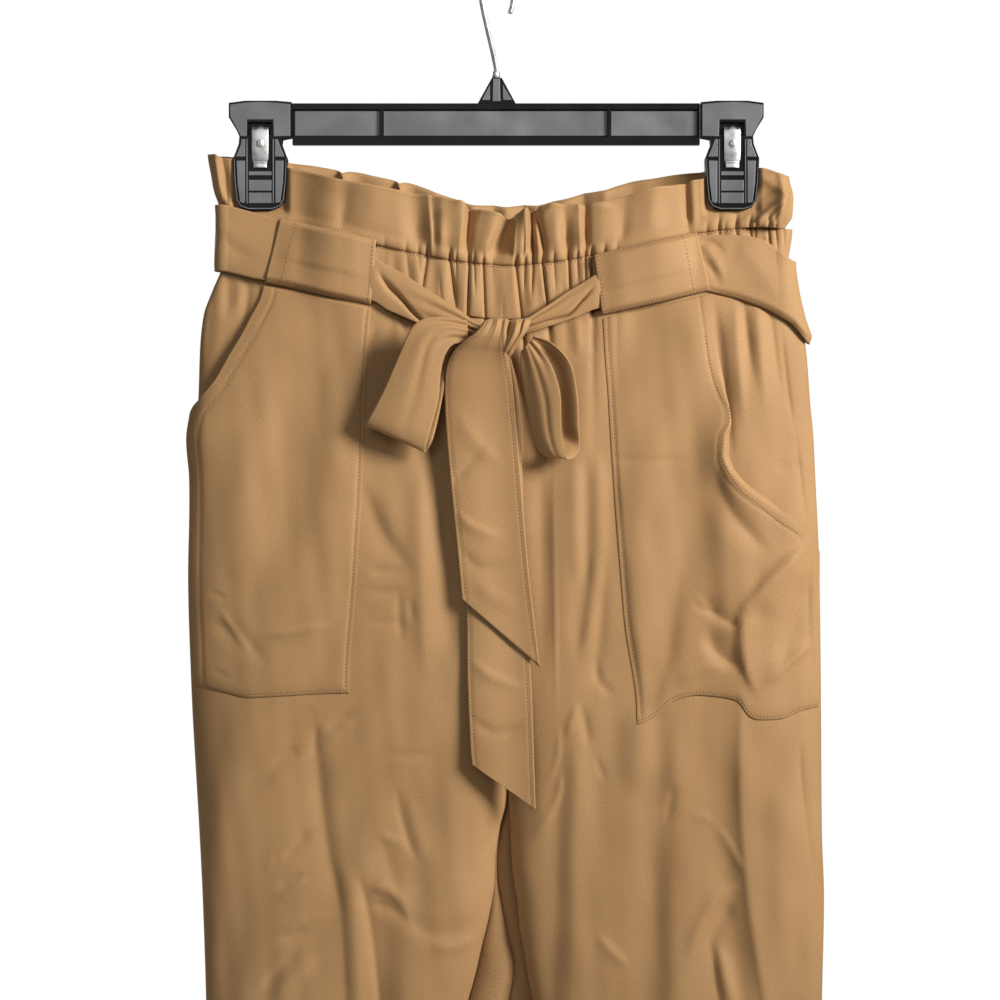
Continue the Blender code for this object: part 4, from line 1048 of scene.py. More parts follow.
def add_noise(source, out, **settings):
    made = node(source.id_data, "ShaderNodeTexNoise", **settings)
    link(source, out, made, "Vector")
    return made


def add_ramp(source, stops, target):
    """Colours along a noise, into the target's base colour."""
    made = node(source.id_data, "ShaderNodeValToRGB")
    while len(made.color_ramp.elements) < len(stops):
        made.color_ramp.elements.new(0.5)
    for element, (place, colour) in zip(made.color_ramp.elements, stops):
        element.position = place
        element.color = (*colour, 1)
    link(source, "Fac", made, "Fac")
    link(made, "Color", target, "Base Color")
    return made


def add_bump(source, out, strength, distance, target):
    made = node(source.id_data, "ShaderNodeBump", Strength=strength, Distance=distance)
    link(source, out, made, "Height")
    link(made, "Normal", target, "Normal")
    return made


def uneven(shader, stops, shine, noise, **more):
    """Uneven tone and roughness from one noise in the piece's own space."""
    space = node(shader.id_data, "ShaderNodeTexCoord")
    tone = add_noise(space, "Object", **noise)
    gloss = node(shader.id_data, "ShaderNodeMapRange", To_Min=shine[0], To_Max=shine[1], **more)
    link(tone, "Fac", gloss, "Value")
    link(gloss, "Result", shader, "Roughness")
    return space, add_ramp(tone, stops, shader)


def crepe_material(name, base, dark, light):
    """Camel crepe: fine crossed yarns with small slubs, a soft sheen and uneven tone."""
    material, shader = new_material(name, Sheen_Weight=0.14, Sheen_Roughness=0.45,
                                    Sheen_Tint=(1.0, 0.86, 0.66, 1), Specular_IOR_Level=0.22)
    tree = shader.id_data
    stops = [(0.30, dark), (0.52, base), (0.74, light)]
    space, tones = uneven(shader, stops, (0.56, 0.70), dict(Scale=9.0, Detail=4.0, Roughness=0.55),
                          From_Min=0.3, From_Max=0.7)
    place = node(tree, "ShaderNodeUVMap", uv_map="cloth")
    yarn = node(tree, "ShaderNodeMath", operation="ADD")
    for k, scale in enumerate([(2600, 620, 1), (620, 2600, 1)]):
        stretch = node(tree, "ShaderNodeMapping", Scale=scale)
        link(place, "UV", stretch, "Vector")
        link(add_noise(stretch, "Vector", Scale=1.0, Detail=2.0, Roughness=0.6), "Fac", yarn, k)
    spread = node(tree, "ShaderNodeMapRange", From_Min=0.7, From_Max=1.3, To_Min=0.82, To_Max=1.14)
    link(yarn, "Value", spread, "Value")
    shade = node(tree, "ShaderNodeMix", data_type="RGBA", blend_type="MULTIPLY", Factor=1.0)
    link(tones, "Color", shade, 6)
    link(spread, "Result", shade, 7)
    link(shade, 2, shader, "Base Color")
    fine = add_bump(yarn, "Value", 0.30, 0.00022, shader)
    crumple = add_noise(space, "Object", Scale=120.0, Detail=3.0, Roughness=0.5)
    add_bump(crumple, "Fac", 0.10, 0.0006, fine)
    return material


def thread_material():
    material, shader = new_material("camel_thread", Sheen_Weight=0.2)
    stops = [(0.3, (0.20, 0.10, 0.038)), (0.7, (0.29, 0.155, 0.062))]
    uneven(shader, stops, (0.4, 0.6), dict(Scale=900.0, Detail=1.0))
    return material


def plastic_material(name, dark, light, shine):
    """Moulded plastic, a little uneven and scuffed."""
    material, shader = new_material(name, Specular_IOR_Level=shine)
    stops = [(0.3, dark), (0.75, light)]
    space, _ = uneven(shader, stops, (0.28, 0.46), dict(Scale=40.0, Detail=4.0))
    pits = add_noise(space, "Object", Scale=700.0, Detail=2.0)
    add_bump(pits, "Fac", 0.12, 0.0002, shader)
    return material


def steel_material():
    """Plated steel, a little uneven."""
    material, shader = new_material("plated_steel", Metallic=1.0)
    stops = [(0.3, (0.62, 0.62, 0.61)), (0.7, (0.88, 0.88, 0.87))]
    uneven(shader, stops, (0.34, 0.54), dict(Scale=180.0, Detail=4.0))
    return material


def plain_floor():
    material, shader = new_material("pale_floor", Roughness=0.8)
    tone = node(shader.id_data, "ShaderNodeTexNoise", Scale=3.0)
    add_ramp(tone, [(0.3, (0.80, 0.80, 0.80)), (0.7, (0.84, 0.84, 0.84))], shader)
    return material


crepe = crepe_material("camel_crepe", (0.43, 0.245, 0.105), (0.395, 0.220, 0.092),
                       (0.462, 0.268, 0.119))
thread = thread_material()
plastic = plastic_material("dark_hanger_plastic", (0.004, 0.004, 0.0045), (0.009, 0.009, 0.010),
                           0.22)
# Grey plates laid over the black plastic: a painted reflection of the bright room, not a grey
# plastic of the hanger
reflection_grey = plastic_material("reflection_grey_plastic", (0.118, 0.120, 0.126), (0.200, 0.200, 0.206), 0.6)
steel = steel_material()


# Making pieces

def ride_as(obj, slot_name, *nodes):
    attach(obj, "root")
    if nodes:
        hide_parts(*nodes)
    return obj


def in_scene(name, data):
    obj = bpy.data.objects.new(name, data)
    bpy.context.scene.collection.objects.link(obj)
    return obj


def add_mesh(name, points, faces, material):
    mesh = bpy.data.meshes.new(name)
    mesh.from_pydata((np.asarray(points) * MM).tolist(), [], faces)
    mesh.materials.append(material)
    mesh.shade_smooth()
    return in_scene(name, mesh)


def add_wall(obj, thickness, offset):
    wall = obj.modifiers.new("wall", "SOLIDIFY")
    wall.thickness = thickness * MM
    wall.offset = offset


def grid_faces(rows, width, flip):
    faces = []
    for r in range(rows - 1):
        for c in range(width - 1):
            a = r * width + c
            quad = (a, a + 1, a + width + 1, a + width)
            faces.append(quad[::-1] if flip else quad)
    return faces


def running(steps):
    """Distances from the start, from the steps between places."""
    return np.concatenate([[0], np.cumsum(steps)])


def cloth_grid(name, points, thickness=SHELL, flip=False):
    """A cloth shell over a grid of points, with its yarns laid out along the grid."""
    rows, width = points.shape[:2]
    obj = add_mesh(name, points.reshape(-1, 3), grid_faces(rows, width, flip), crepe)
    u = running(np.linalg.norm(np.diff(points, axis=1), axis=2).mean(0)) * MM
    v = running(np.linalg.norm(np.diff(points, axis=0), axis=2).mean(1)) * MM
    flat = np.stack(np.broadcast_arrays(u[None, :], v[:, None]), -1).reshape(-1, 2)
    layer = obj.data.uv_layers.new(name="cloth")
    corners = np.zeros(len(obj.data.loops), np.int32)
    obj.data.loops.foreach_get("vertex_index", corners)
    layer.data.foreach_set("uv", flat[corners].astype(np.float32).ravel())
    add_wall(obj, thickness, 0)
    return obj


def grid_normals(points):
    """Unit normals of a grid of points, out of the garment's front or back."""
    normal = np.cross(np.gradient(points, axis=0), np.gradient(points, axis=1))
    normal /= np.maximum(np.linalg.norm(normal, axis=-1, keepdims=True), 1e-9)
    outward = -1 if points[..., 1].mean() < 0 else 1
    return normal * np.where(normal[..., 1:2] * outward < 0, -1, 1)


def inset_line(points, edge, distance, start=0.0, stop=1.0):
    """A line on a grid that keeps its distance from one edge, and the normals along it."""
    grid = {"first": points, "last": points[:, ::-1], "top": points.transpose(1, 0, 2),
            "bottom": points[::-1].transpose(1, 0, 2)}[edge]
    last = len(grid) - 1
    grid = grid[int(start * last):int(stop * last) + 1]
    border = np.gradient(grid[:, 0], axis=0)
    inward = grid[:, min(6, grid.shape[1] - 1)] - grid[:, 0]
    crossing = np.linalg.norm(np.cross(border, inward), axis=1)
    crossing /= np.linalg.norm(border, axis=1) * np.linalg.norm(inward, axis=1)
    lengths = np.linalg.norm(np.diff(grid, axis=1), axis=2).cumsum(1)
    lengths = np.concatenate([np.zeros((len(grid), 1)), lengths], 1)
    wants = distance / np.maximum(crossing, 0.35)
    return tuple(np.array([[np.interp(want, reach, row[:, k]) for k in range(3)]
                           for want, reach, row in zip(wants, lengths, values)])
                 for values in (grid, grid_normals(grid)))


def make_stitches(name, lines, shell=SHELL, pitch=2.3):
    """One mesh with every stitch along the lines: a slim thread with pointed ends."""
    points = []
    faces = []
    for line, facing in lines:
        steps = running(np.linalg.norm(np.diff(line, axis=0), axis=1))
        places = np.arange(pitch / 2, steps[-1], pitch)

        def at(values, where):
            return np.stack([np.interp(where, steps, values[:, k]) for k in range(3)], -1)

        along = at(line, places + 0.6) - at(line, places - 0.6)
        along /= np.maximum(np.linalg.norm(along, axis=1, keepdims=True), 1e-9)
        out = at(facing, places)
        side = np.cross(along, out)
        middle = at(line, places) + out * (shell / 2 + STITCH_LIFT)
        half = along * STITCH_LENGTH / 2
        rings = [middle - half - out * THREAD_RADIUS]
        for share in (-0.5, 0.5):
            for turn in (0, math.pi / 2, math.pi, 3 * math.pi / 2):
                round_it = out * math.cos(turn) + side * math.sin(turn)
                rings.append(middle + half * share * 1.3 + round_it * THREAD_RADIUS)
        rings.append(middle + half - out * THREAD_RADIUS)
        base = sum(len(block) for block in points)
        points.append(np.stack(rings, 1).reshape(-1, 3))
        for a in range(base, base + 10 * len(places), 10):
            for b, c in ((1, 2), (2, 3), (3, 4), (4, 1)):
                faces += [(a, a + b, a + c), (a + b, a + 4 + b, a + 4 + c, a + c),
                          (a + 9, a + 4 + c, a + 4 + b)]
    return ride_as(add_mesh(name, np.concatenate(points), faces, thread), "crepe")


# Panels

def panel_height(x, level):
    sag = 1 - smooth_step((PANEL_TOP - level) / PANEL_SAG)
    return level + sag * (seam_top(x) - PANEL_GAP - PANEL_TOP)


def panel_points(name, columns, fine_step, coarse_step):
    """Grid of one leg panel, from its side seam to the centre seam or inseam."""
    face, side = name.split("_")
    inward = 1 if side == "right" else -1
    fine = np.arange(PANEL_TOP, PHOTO_BOTTOM, -fine_step)
    coarse = np.linspace(PHOTO_BOTTOM, HEM_Z, int((PHOTO_BOTTOM - HEM_Z) / coarse_step))
    level = np.concatenate([fine, coarse])[:, None]
    share = leg_share(level)
    inseam = INSEAM.at(side, level)
    shelf = INSEAM.at("back_" + side, level) - inseam if face == "back" else np.zeros_like(level)
    # The left back leg's edge is tucked away from the crotch down
    tucked = smooth_step((CROTCH_Z + 14 - level) / 12)
    tucked = tucked * (1 - smooth_step((PHOTO_BOTTOM - level) / 60)) * (name == "back_left")
    shelf = shelf - 3.2 * tucked
    outer_z = panel_height(OUTLINE.at(side, level), level)
    outer = OUTLINE.at(side, outer_z)
    inner = inseam - inward * (HALF_GAP + CLOTH / 2 * np.minimum(1.0, 2.4 * share))
    column = np.arange(1, columns + 1)
    turned = (1 - np.cos(math.pi * column / (columns + 1))) / 2
    x = mix(outer, inner, mix(turned, column / (columns + 1), 0.4)[None, :])
    z = panel_height(x, level)
    end_z = panel_height(inner, level)
    edge = np.where(share < 1, panel_depth(inner, end_z, face), HALF_GAP)
    edge = edge + CLOTH / 2 * np.minimum(1.0, np.abs(shelf) / 4)
    blocks = [np.stack([outer, np.full_like(outer, y), outer_z], -1)
              for y in (HALF_GAP, HALF_GAP + LIP)]
    blocks.append(np.stack([x, panel_depth(x, z, face), z], -1))
    for turn in SHELF_TURNS if face == "back" else PLAIN_TURNS:
        turn_x = inner - inward * mix(turn.flat_across, turn.turned_across, share)
        back = mix(panel_depth(turn_x, end_z, face) - edge, turn.turned_back, share)
        back = back + 3.6 * tucked * turn.shelf_share ** 2
        ripple = turn.shelf_share * np.minimum(1, np.abs(shelf) / 20)
        ripple = ripple * small_waves[face](turn_x * 0.5, end_z * 0.7)
        turn_x = turn_x + shelf * turn.shelf_share
        blocks.append(np.stack([turn_x, edge + back + 1.4 * ripple, end_z], -1))
    blocks.append(np.stack([inner, edge, end_z], -1))
    points = np.concatenate(blocks, 1)
    points[..., 1] *= face_sign(face)
    return points


def make_panels():
    for face, columns, fine_step, cut_width, cut_area in (("front", 134, 2.5, 0.30, 0.235),
                                                          ("back", 72, 4.4, 0.32, 0.245)):
        for side in ("right", "left"):
            name = f"{face}_{side}"
            points = panel_points(name, columns, fine_step, 9.0)
            line = inset_line(points, "bottom", HEM_DEPTH, 0.02, 0.98)
            make_stitches("stitches_hem_" + name, [line], pitch=WIDE_PITCH)
            obj = cloth_grid("panel_" + name, points, flip=(side == "left") ^ (face == "back"))
            ride_as(obj, "crepe", *(f"{name}_{length}" for length in PANEL_LENGTHS))


# Waist

def across_waist(right, left, count):
    """Places across the waist, closer together where its gathers are fine."""
    start, end = GATHER_ENDS
    places = crowded(start, end, count, GATHER_CROWDS)[None, :]
    return mix(right, left, (places - start) / (end - start))


def gathered_depth(x, z, face, fade, out):
    """How free of the clips gathered cloth is, and how far it stands out, bulging near them."""
    free = fade * (1 - clip_press(x, z))
    y = np.maximum(depth(x, z, face) + 1.8 * clip_hold(x, z) * free + out * free, 0.8)
    return free, np.where(fade > 0, y, HALF_GAP + 0.2)


def ruffle_points(face, count, rows):
    share = down_grid(rows) ** 1.25
    right = RUFFLE_SIDES.at("right", share)
    left = RUFFLE_SIDES.at("left", share)
    x = across_waist(right, left, count)
    z = mix(WAIST.at("stitch", x) + 0.3, WAIST.at("ruffle_" + face, x), share)
    grow = 0.15 + 0.85 * smooth_step(share / 0.4)
    push = np.zeros_like(x)
    slide = np.zeros_like(x)
    for pleat in RUFFLE_PLEATS[face]:
        distance = x - (pleat.x + pleat.fan * share)
        shape = ridge(distance, pleat.width * (0.72 + 0.38 * share), pleat.lean, pleat.sharp)
        shape = shape * mix(pleat.low, pleat.high, share)
        push += pleat.height * grow * shape
        slide += pleat.over * grow * shape
    push = push + crease_height(RUFFLE_CREASES[face], x, z)
    pinch = tuck_depth(face, x, 0.0, 1.2)
    puckers = pinch * (1 - smooth_step(share / 0.26)) * 0.8
    scallop = bell(share, 0.07, 0.09) * (1 - np.clip(pinch / 1.6, 0, 1))
    roll = 1.8 * np.sqrt(np.clip(share / 0.12, 0, 1)) + 0.6 * share
    edge_roll = 0.5 * smooth_step((share - 0.93) / 0.07)
    out = push + roll + 1.5 * scallop + edge_roll + small_waves[face](x, z) * 0.15 - puckers
    fade = smooth_step((x - right) / 7) * smooth_step((left - x) / 7)
    free, y = gathered_depth(x, z, face, fade, out)
    droop = (0.3 + 0.9 * scallop) * bell(share, 0.05, 0.06) * free
    z = z + free * (0.35 * push - 0.6) * smooth_step((share - 0.4) / 0.6) - droop
    return np.stack([x + slide * free, face_sign(face) * y, z], -1)


def casing_points(face, count, rows):
    share = down_grid(rows)
    drop = share * CASING_HEIGHT
    right = OUTLINE.at("right", WAIST.at("stitch", -188) - drop)
    left = OUTLINE.at("left", WAIST.at("stitch", 195) - drop)
    x = across_waist(right, left, count)
    z = WAIST.at("stitch", x) - drop
    puff = np.sin(math.pi * share) ** 0.7 * (1 + 0.5 * small_waves[face](x * 1.6, z * 0.5))
    tucks = tuck_depth(face, x, share)
    out = 1.3 * puff - tucks * (0.8 + 0.2 * puff) + small_waves[face](x, z) * 0.12
    fade = smooth_step((x - right) / 9) * smooth_step((left - x) / 9)
    return np.stack([x, face_sign(face) * gathered_depth(x, z, face, fade, out)[1], z], -1)


def make_waist():
    for face, count, rows in (("front", 620, 30), ("back", 420, 22)):
        is_front = face == "front"
        ruffle = cloth_grid("frill_" + face, ruffle_points(face, count, rows), flip=not is_front)
        ride_as(ruffle, "crepe", "ruffle_" + face)
        points = casing_points(face, count, rows - 4)
        casing = cloth_grid("waist_casing_" + face, points, flip=is_front)
        make_stitches("stitches_casing_" + face, [inset_line(points, "top", 1.6, 0.03, 0.97)])
        ride_as(casing, "crepe", "casing_" + face)


# Pockets and carriers

def pocket_points(name, levels=150, columns=76):
    pocket = POCKETS[name]
    v = down_grid(levels)
    u = (1 - np.cos(math.pi * across_grid(columns))) / 2
    z_outer = mix(pocket.top_outer, pocket.bottom_outer, v)
    z_inner = mix(pocket.top_inner, pocket.bottom_inner, v)
    x_outer = pocket.edges.at("outer", z_outer)
    x_inner = pocket.edges.at("inner", z_inner)
    x = mix(x_inner, x_outer, u)
    z = mix(z_inner, z_outer, u)
    z = z + pocket.hem.at("rise", u) * smooth_step((v - 0.7) / 0.3)
    mouth = bell(z_outer, pocket.mouth_z, 60) * smooth_step(v / 0.12)
    sewn = smooth_step((u - 0.45) / 0.55) * smooth_step((1 - v) / 0.18)
    own = crease_height(POCKET_CREASES[name], x, z)
    own = own * smooth_step(u / 0.06) * smooth_step((1 - u) / 0.05) * smooth_step((1 - v) / 0.05)
    slant = (pocket.edges.at("outer", z_outer + 1) - pocket.edges.at("outer", z_outer - 1)) / 2
    from_edges = ((np.abs(x - x_outer) / np.sqrt(1 + slant ** 2), MOUTH_HEM, 0.9),
                  ((x - x_inner) * np.sign(x_outer - x_inner), INNER_SEAM, 1.1),
                  ((1 - v) * POCKET_LENGTH, BOTTOM_SEAM, 1.0))
    mouth_seam, inner_seam, bottom_seam = (
        bell(distance, seam, reach) for distance, seam, reach in from_edges)
    sunk = 0.45 * np.maximum(np.maximum(inner_seam, bottom_seam), mouth_seam)
    outward = 1 if name == "pocket_left" else -1
    side = 1 - smooth_step(np.abs(x - outward * 204) / 14)
    edge_down = 1.15 * np.maximum(np.exp(-u * 25), np.exp(-(1 - v) * 60))
    lift = 1.7 + POCKET_GAPE * mouth * sewn * (1 - 0.6 * side) + own - sunk - edge_down
    return lifted(x, z, lift, cover_depth)


def make_pockets():
    for name, pocket in POCKETS.items():
        points = pocket_points(name)
        obj = cloth_grid("patch_" + name, points, flip=name == "pocket_right")
        mouth_length = pocket.top_outer - pocket.mouth_end
        mouth_share = mouth_length / (pocket.top_outer - pocket.bottom_outer)
        make_stitches("stitches_" + name, [
            inset_line(points, "first", INNER_SEAM, 0.03, 0.985),
            inset_line(points, "bottom", BOTTOM_SEAM, 0.02, 0.97),
            inset_line(points, "last", MOUTH_HEM, 0.10, mouth_share)])
        ride_as(obj, "crepe", name)


def carrier_points(name, levels=40, columns=56):
    v = down_grid(levels)
    u = across_grid(columns)
    corners = CARRIERS[name]
    x, z = (mix(mix(corners.top_outer[k], corners.top_inner[k], u),
                mix(corners.bottom_outer[k], corners.bottom_inner[k], u), v) for k in (0, 1))
    edges = np.minimum(smooth_step(v / 0.10), smooth_step((1 - v) / 0.07))
    middle = smooth_step(np.minimum(u, 1 - u) / 0.25)
    waves = small_waves["front"](x * 0.7, z * 0.7) * 0.2
    slope = smooth_step((v - 0.56) / 0.12)
    rise = 1.2 * middle + waves + 0.9 * middle * (1 - slope)
    return lifted(x, z, mix(3.2, 2.5, v) + mix(2.7, 3.4, v) * edges + edges * rise)


def make_carriers():
    for name in CARRIERS:
        points = carrier_points(name)
        obj = cloth_grid("belt_" + name, points, flip=name == "carrier_right")
        lines = [inset_line(points, edge, distance, start, 1 - start)
                 for edge, distance, start in CARRIER_LINES]
        make_stitches("stitches_" + name, lines, pitch=WIDE_PITCH)
        ride_as(obj, "crepe", name)


# Belt and bow

def ring_point(angle, z):
    """Points round the waist's middle surface, from the left side over the front."""
    x = mix(OUTLINE.at("right", z), OUTLINE.at("left", z), (1 + np.cos(angle)) / 2)
    y = np.where(np.sin(angle) > 0, HALF_GAP - depth(x, z, "front"), depth(x, z, "back") - HALF_GAP)
    return np.stack([x, y, np.broadcast_to(z, x.shape)], -1)


def belt_points(steps=420, across=30):
    angle = np.linspace(math.radians(BELT_START), math.radians(BELT_END), steps)[:, None]
    offset = np.linspace(-1, 1, across)[None, :]
    line = ring_point(angle, np.full_like(angle, BELT_LEVEL))[..., 0]
    hang = smooth_step((line - 150) / 45)
    in_front = np.sin(angle) > 0
    place = line + 4 * hang
    middle, half = (
        np.where(in_front, BELT_LINE.at(kind + "front", place), BELT_LINE.at(kind + "back", place))
        for kind in ("", "half_"))
    z = middle + offset * half
    angle = np.broadcast_to(angle, z.shape)
    here = ring_point(angle, z)
    tangent = ring_point(angle + 0.02, z) - ring_point(angle - 0.02, z)
    normal = np.stack([-tangent[..., 1], tangent[..., 0], np.zeros_like(z)], -1)
    normal /= np.linalg.norm(normal, axis=-1, keepdims=True)
    fold = 0.35 * np.cos(offset * 3.1) + 0.25 * np.sin(angle * 9 + offset * 2)
    fold = fold + np.where(in_front, crease_height(BELT_CREASES, here[..., 0], z), 0)
    rolled = smooth_step((-0.80 - offset) / 0.20) * mix(0.7, 3.0, smooth_step((line - 130) / 20))
    lift = BELT_LIFT + 1.5 * hang * (1 - offset) / 2 + fold - rolled
    return here + normal * lift[..., None]


def strand_points(table, start, end, steps=110, across=44):
    """A strip of belt folded lengthwise, with a dark hollow between its two layers."""
    x = np.linspace(start, end, steps)[:, None]
    v = across_grid(across)
    top = table.at("top", x)
    bottom = table.at("bottom", x)
    loose = smooth_step((np.abs(start - x) - 6) / 12)
    off = (v - table.at("valley", x)) * (top - bottom)
    hollow = np.exp(-np.abs(off / table.at("open", x)) ** 1.5)
    bulge = 1.5 * np.sin(math.pi * v) ** 0.7
    creases = 0.5 * np.sin(v * 17 + x * 0.05) * smooth_step((70 - np.abs(x)) / 40)
    lift = table.at("out", x) + bulge + creases - 4.4 * hollow * loose
    x = np.broadcast_to(x, (steps, across))
    return lifted(x, mix(top, bottom, v), lift)


def between(table, t, rows):
    """A grid between the two edges of a table of sections, and how far down it each row is."""
    sections = resample(table, rows)
    points = mix(sections[:, None, :3], sections[:, None, 3:], t[..., None])
    return points, down_grid(rows)


def loop_points(name, rows=120, across=30):
    t = across_grid(across)
    points, along = between(BOW_LOOPS[name], t, rows)
    behind = smooth_step((along - 0.5) / 0.1)
    points[..., 1] -= mix(2.6, -1.2, behind) * np.sin(math.pi * t)
    near_knot = bell(along, 0, 0.16) + bell(1 - along, 0, 0.16)
    points[..., 1] -= (0.9 * np.sin(t * 12 + 2.0) + 0.5 * np.sin(t * 21 + 5 * along)) * near_knot
    fold = bell(t - 0.48 - 0.25 * along, 0, 0.10) * np.sin(math.pi * np.clip(along / 0.5, 0, 1))
    points[..., 1] += 1.1 * fold
    cup = smooth_step((t - 0.45) / 0.55) * smooth_step((along - 0.56) / 0.08)
    points[..., 1] -= 6.5 * (cup * smooth_step((0.97 - along) / 0.12))
    return points


def tail_points(name, rows=150, across=48):
    sections = resample(TAILS[name], rows)
    t = across_grid(across)
    right_x, right_z, left_x, left_z, y = (sections[:, k:k + 1] for k in range(5))
    down = down_grid(rows)
    rim = np.minimum(t, 1 - t)
    ripple = 0.9 * np.sin(t * math.tau) * smooth_step(down / 0.5)
    for place, spread, rise, reach in TAIL_FOLDS:
        centre = 0.5 + (place - 0.5) * (1 + spread * down)
        ripple = ripple + rise * bell(down, 0, reach) * ridge(t - centre, 0.06, 0.2, 0.4)
    ripple = ripple - 3.0 * (1 - smooth_step(rim / 0.07)) * bell(down, 0, 0.45)
    x = mix(right_x, left_x, t)
    z = mix(right_z, left_z, t) + 1.5 * np.sin(math.pi * t ** 0.8) * bell(down, 0, 0.12)
    ripple = ripple + crease_height(TAIL_CREASES[name], x, z)
    ripple = ripple - 0.35 * bell(rim * (left_x - right_x), TAIL_SEAM, 0.8)
    return np.stack([x, y - ripple, z], -1)


def knot_points(rows=64, across=84):
    """The knot: gathered belt cloth that comes over the top and runs down into the tail."""
    t = across_grid(across)
    points, down = between(KNOT_SECTIONS, t, rows)
    gathered = np.sin(math.pi * np.clip(down * 1.06, 0, 1)) ** 0.6
    for place, width, rise in KNOT_FOLDS:
        pull = (0.5 - place) * 0.25 * bell(down, 0.3, 0.25)
        centre = place + 0.05 * np.sin(down * 4 + place * 7) + pull
        points[..., 1] -= rise * gathered * ridge(t - centre, width, 0.2, 0.6)
    rim = 1 - np.sqrt(np.clip(np.minimum(t, 1 - t) / 0.12, 0, 1))
    points[..., 1] += 4.6 * rim * (1 - smooth_step((down - 0.75) / 0.25))
    return points


def make_belt():
    belt = cloth_grid("fabric_belt", belt_points(), BELT_SHELL)
    ride_as(belt, "crepe", "belt")
    for name, table, start, end, area in (("belt_strand_right", STRAND_RIGHT, -87, -10, 0.0019),
                                          ("belt_strand_left", STRAND_LEFT, 72, 13, 0.0015)):
        points = strand_points(table, start, end)
        obj = cloth_grid("tied_" + name, points, BELT_SHELL, name == "belt_strand_left")
        ride_as(obj, "crepe", name)
    for name, area in (("bow_loop_right", 0.0061), ("bow_loop_left", 0.0040)):
        obj = cloth_grid("tied_" + name, loop_points(name), BOW_SHELL)
        ride_as(obj, "crepe", name)
    for name, length in (("bow_tail_front", 0.20), ("bow_tail_back", 0.30)):
        points = tail_points(name)
        obj = cloth_grid("tied_" + name, points, BOW_SHELL)
        lines = [inset_line(points, edge, TAIL_SEAM, start, 0.98)
                 for edge, start in (("first", 0.25), ("last", 0.35))]
        make_stitches("stitches_" + name, lines, BOW_SHELL)
        ride_as(obj, "crepe", name)
    knot = cloth_grid("tied_knot", knot_points(), KNOT_SHELL)
    ride_as(knot, "crepe", "bow_knot")


# Hanger

def add_plates(name, outlines, back, thick, material=reflection_grey, inset=0.22):
    """Flat plates with softened rims, each from its outline across and up; by default in the grey
    of a painted reflection on the black plastic.
    """
    points = []
    faces = []
    facing = -1 if back < 0 else 1
    for outline in outlines:
        flat = np.array(outline, float)
        after = np.roll(flat, -1, 0)
        if (flat[:, 0] * after[:, 1] - flat[:, 1] * after[:, 0]).sum() < 0:
            flat = flat[::-1]
        edges = np.roll(flat, -1, 0) - flat
        side = np.stack([-edges[:, 1], edges[:, 0]], 1) / np.linalg.norm(edges, axis=1)[:, None]
        corner = side + np.roll(side, 1, 0)
        corner /= np.maximum((corner * side).sum(1), 0.5)[:, None]
        count = len(flat)
        base = len(points)
        for shrink, depth_share in ((0, 0), (0, 0.6), (0.35, 0.9), (1, 1)):
            ring = flat + corner * inset * shrink
            points += [(x, back + facing * thick * depth_share, z) for x, z in ring]
        made = []
        for start in (base, base + count, base + 2 * count):
            for c in range(count):
                a, b = start + c, start + (c + 1) % count
                made.append((a, b, b + count, a + count))
        made.append(tuple(range(base + 3 * count, base + 4 * count)))
        made.append(tuple(range(base, base + count))[::-1])
        faces += made if facing < 0 else [face[::-1] for face in made]
    obj = add_mesh(name, points, faces, material)
    obj.data.shade_flat()
    return ride_as(obj, "hanger_plastic")


def spring_points(rows=110, across=44):
    """The bent tongue of a clip's spring, from its hooked top to its foot."""
    up, forward, half = (column[:, None] for column in resample(SPRING_BENDS, rows).T)
    spread = np.linspace(-1, 1, across)[None, :]
    x = half * spread
    y = -(forward - 0.7 * spread ** 2)
    z = np.broadcast_to(up, x.shape) + 0.5 * np.cos(spread * 5) * bell(up, -113, 1.4)
    return np.stack([x, y, z], -1)


def make_spring(name, clip):
    """A clip's spring, with a plain round boss pressed into it round a small hole."""
    points = spring_points()
    away = np.hypot(points[..., 0], points[..., 2] - BOSS_Z)
    points[..., 1] -= 0.7 * (1 - smooth_step((away - 1.2) / 1.6))
    points[..., 0] += clip
    hole = (away < 0.7).ravel()
    kept = [face for face in grid_faces(*points.shape[:2], True) if not hole[list(face)].all()]
    obj = add_mesh("spring_" + name, points.reshape(-1, 3), kept, steel)
    add_wall(obj, 0.5, -1)
    ride_as(obj, "hanger_steel", "clip_spring_" + name)


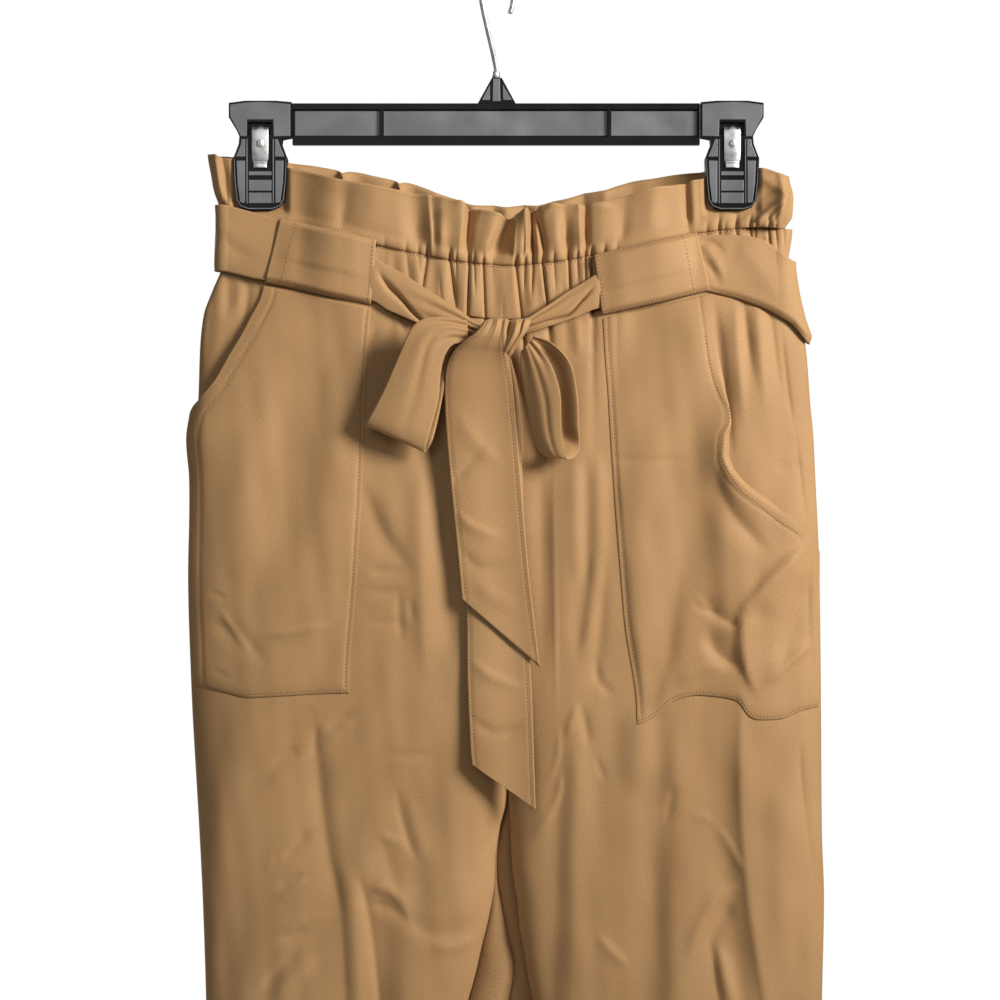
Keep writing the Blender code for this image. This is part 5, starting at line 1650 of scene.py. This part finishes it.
def finish_hanger():
    for name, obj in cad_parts.items():
        if name.startswith(("hanger", "clip")):
            is_steel = name.startswith("hanger_hook") or "spring" in name
            obj.data.materials.clear()
            obj.data.materials.append(steel if is_steel else plastic)
    faces = (("front", -1), ("back", 1))
    for side, clip, outward in (("right", CLIP_X[0], -1), ("left", CLIP_X[1], 1)):
        plates, rims = (
            [[(clip + outward * across, up) for across, up in outline] for outline in outlines]
            for outlines in (CLIP_FACES, CLIP_RIMS))
        # The clip's grey face plates are a painted reflection and its grey rim strips are painted
        # edge highlights on the black plastic
        for face, facing in faces:
            add_plates(f"clip_faces_{face}_{side}", plates, facing * PLATE_FACE, 0.55)
            add_plates(f"clip_rims_{face}_{side}", rims, facing * PLATE_FACE, 1.0, inset=0.12)
        make_spring(side, clip)
        core = rectangle(clip - 8.2, clip + 8.2, -104.0, -136.0)
        add_plates("clip_core_" + side, [core], -1.6, 0.8, plastic)
    right_rib, left_rib = BAR_RIBS
    starts = (-134.0, right_rib + RIB, left_rib + RIB)
    ends = (right_rib - RIB, left_rib - RIB, 132.8)
    panels = [rectangle(start, end, -101.9, -118.3) for start, end in zip(starts, ends)]
    # The bar's and hub's grey plates are a painted reflection on the black plastic
    for face, facing in faces:
        add_plates("bar_faces_" + face, panels, facing * 1.52, 0.5)
        add_plates("hub_faces_" + face, HUB_FACES, facing * 3.02, 0.6)
    turns = np.append(np.linspace(0, math.tau, 25)[:-1], 0.0)
    points = [(-0.6 + radius * math.cos(turn), radius * math.sin(turn), z)
              for radius, z in FERRULE for turn in turns]
    rings = grid_faces(len(FERRULE), len(turns), False)
    ride_as(add_mesh("hook_ferrule", points, rings, steel), "hanger_steel")


# Stage

def make_light(name, place, aim, size, power, colour, spread):
    data = bpy.data.lights.new(name, "AREA")
    data.shape = "DISK"
    data.size = size
    data.energy = power
    data.color = colour
    data.spread = math.radians(spread)
    obj = in_scene(name, data)
    obj.location = place
    obj.rotation_euler = (Vector(aim) - Vector(place)).to_track_quat("-Z", "Y").to_euler()


def make_stage():
    data = bpy.data.cameras.new("camera")
    data.type = "PERSP"
    data.sensor_width = SENSOR_WIDTH
    data.lens = SENSOR_WIDTH * CAMERA_DISTANCE / PHOTO_WIDTH
    data.clip_start = 0.05
    data.clip_end = 50.0
    camera = in_scene("camera", data)
    camera.location = (PHOTO_MIDDLE[0], -CAMERA_DISTANCE, PHOTO_MIDDLE[1])
    camera.rotation_euler = (math.pi / 2, 0, 0)
    bpy.context.scene.camera = camera

    world = bpy.data.worlds.new("studio")
    bpy.context.scene.world = world
    world.use_nodes = True
    tree = world.node_tree
    tree.nodes.clear()
    blend = node(tree, "ShaderNodeMixShader")
    link(node(tree, "ShaderNodeLightPath"), "Is Camera Ray", blend, "Fac")
    for k, strength in ((1, 0.13), (2, 1.0)):
        link(node(tree, "ShaderNodeBackground", Color=(1, 1, 1, 1), Strength=strength), 0, blend, k)
    link(blend, 0, node(tree, "ShaderNodeOutputWorld"), "Surface")

    corners = [(-1, -1), (1, -1), (1, 1), (-1, 1)]
    floor = add_mesh("floor", [(FLOOR_REACH * x, FLOOR_REACH * y, FLOOR_Z) for x, y in corners],
                     [(0, 1, 2, 3)], plain_floor())
    for light in LIGHTS:
        make_light(*light)
    bpy.context.scene.view_settings.view_transform = "Standard"


make_panels()
make_waist()
make_pockets()
make_carriers()
make_belt()
finish_hanger()
make_stage()

bpy.context.view_layer.update()
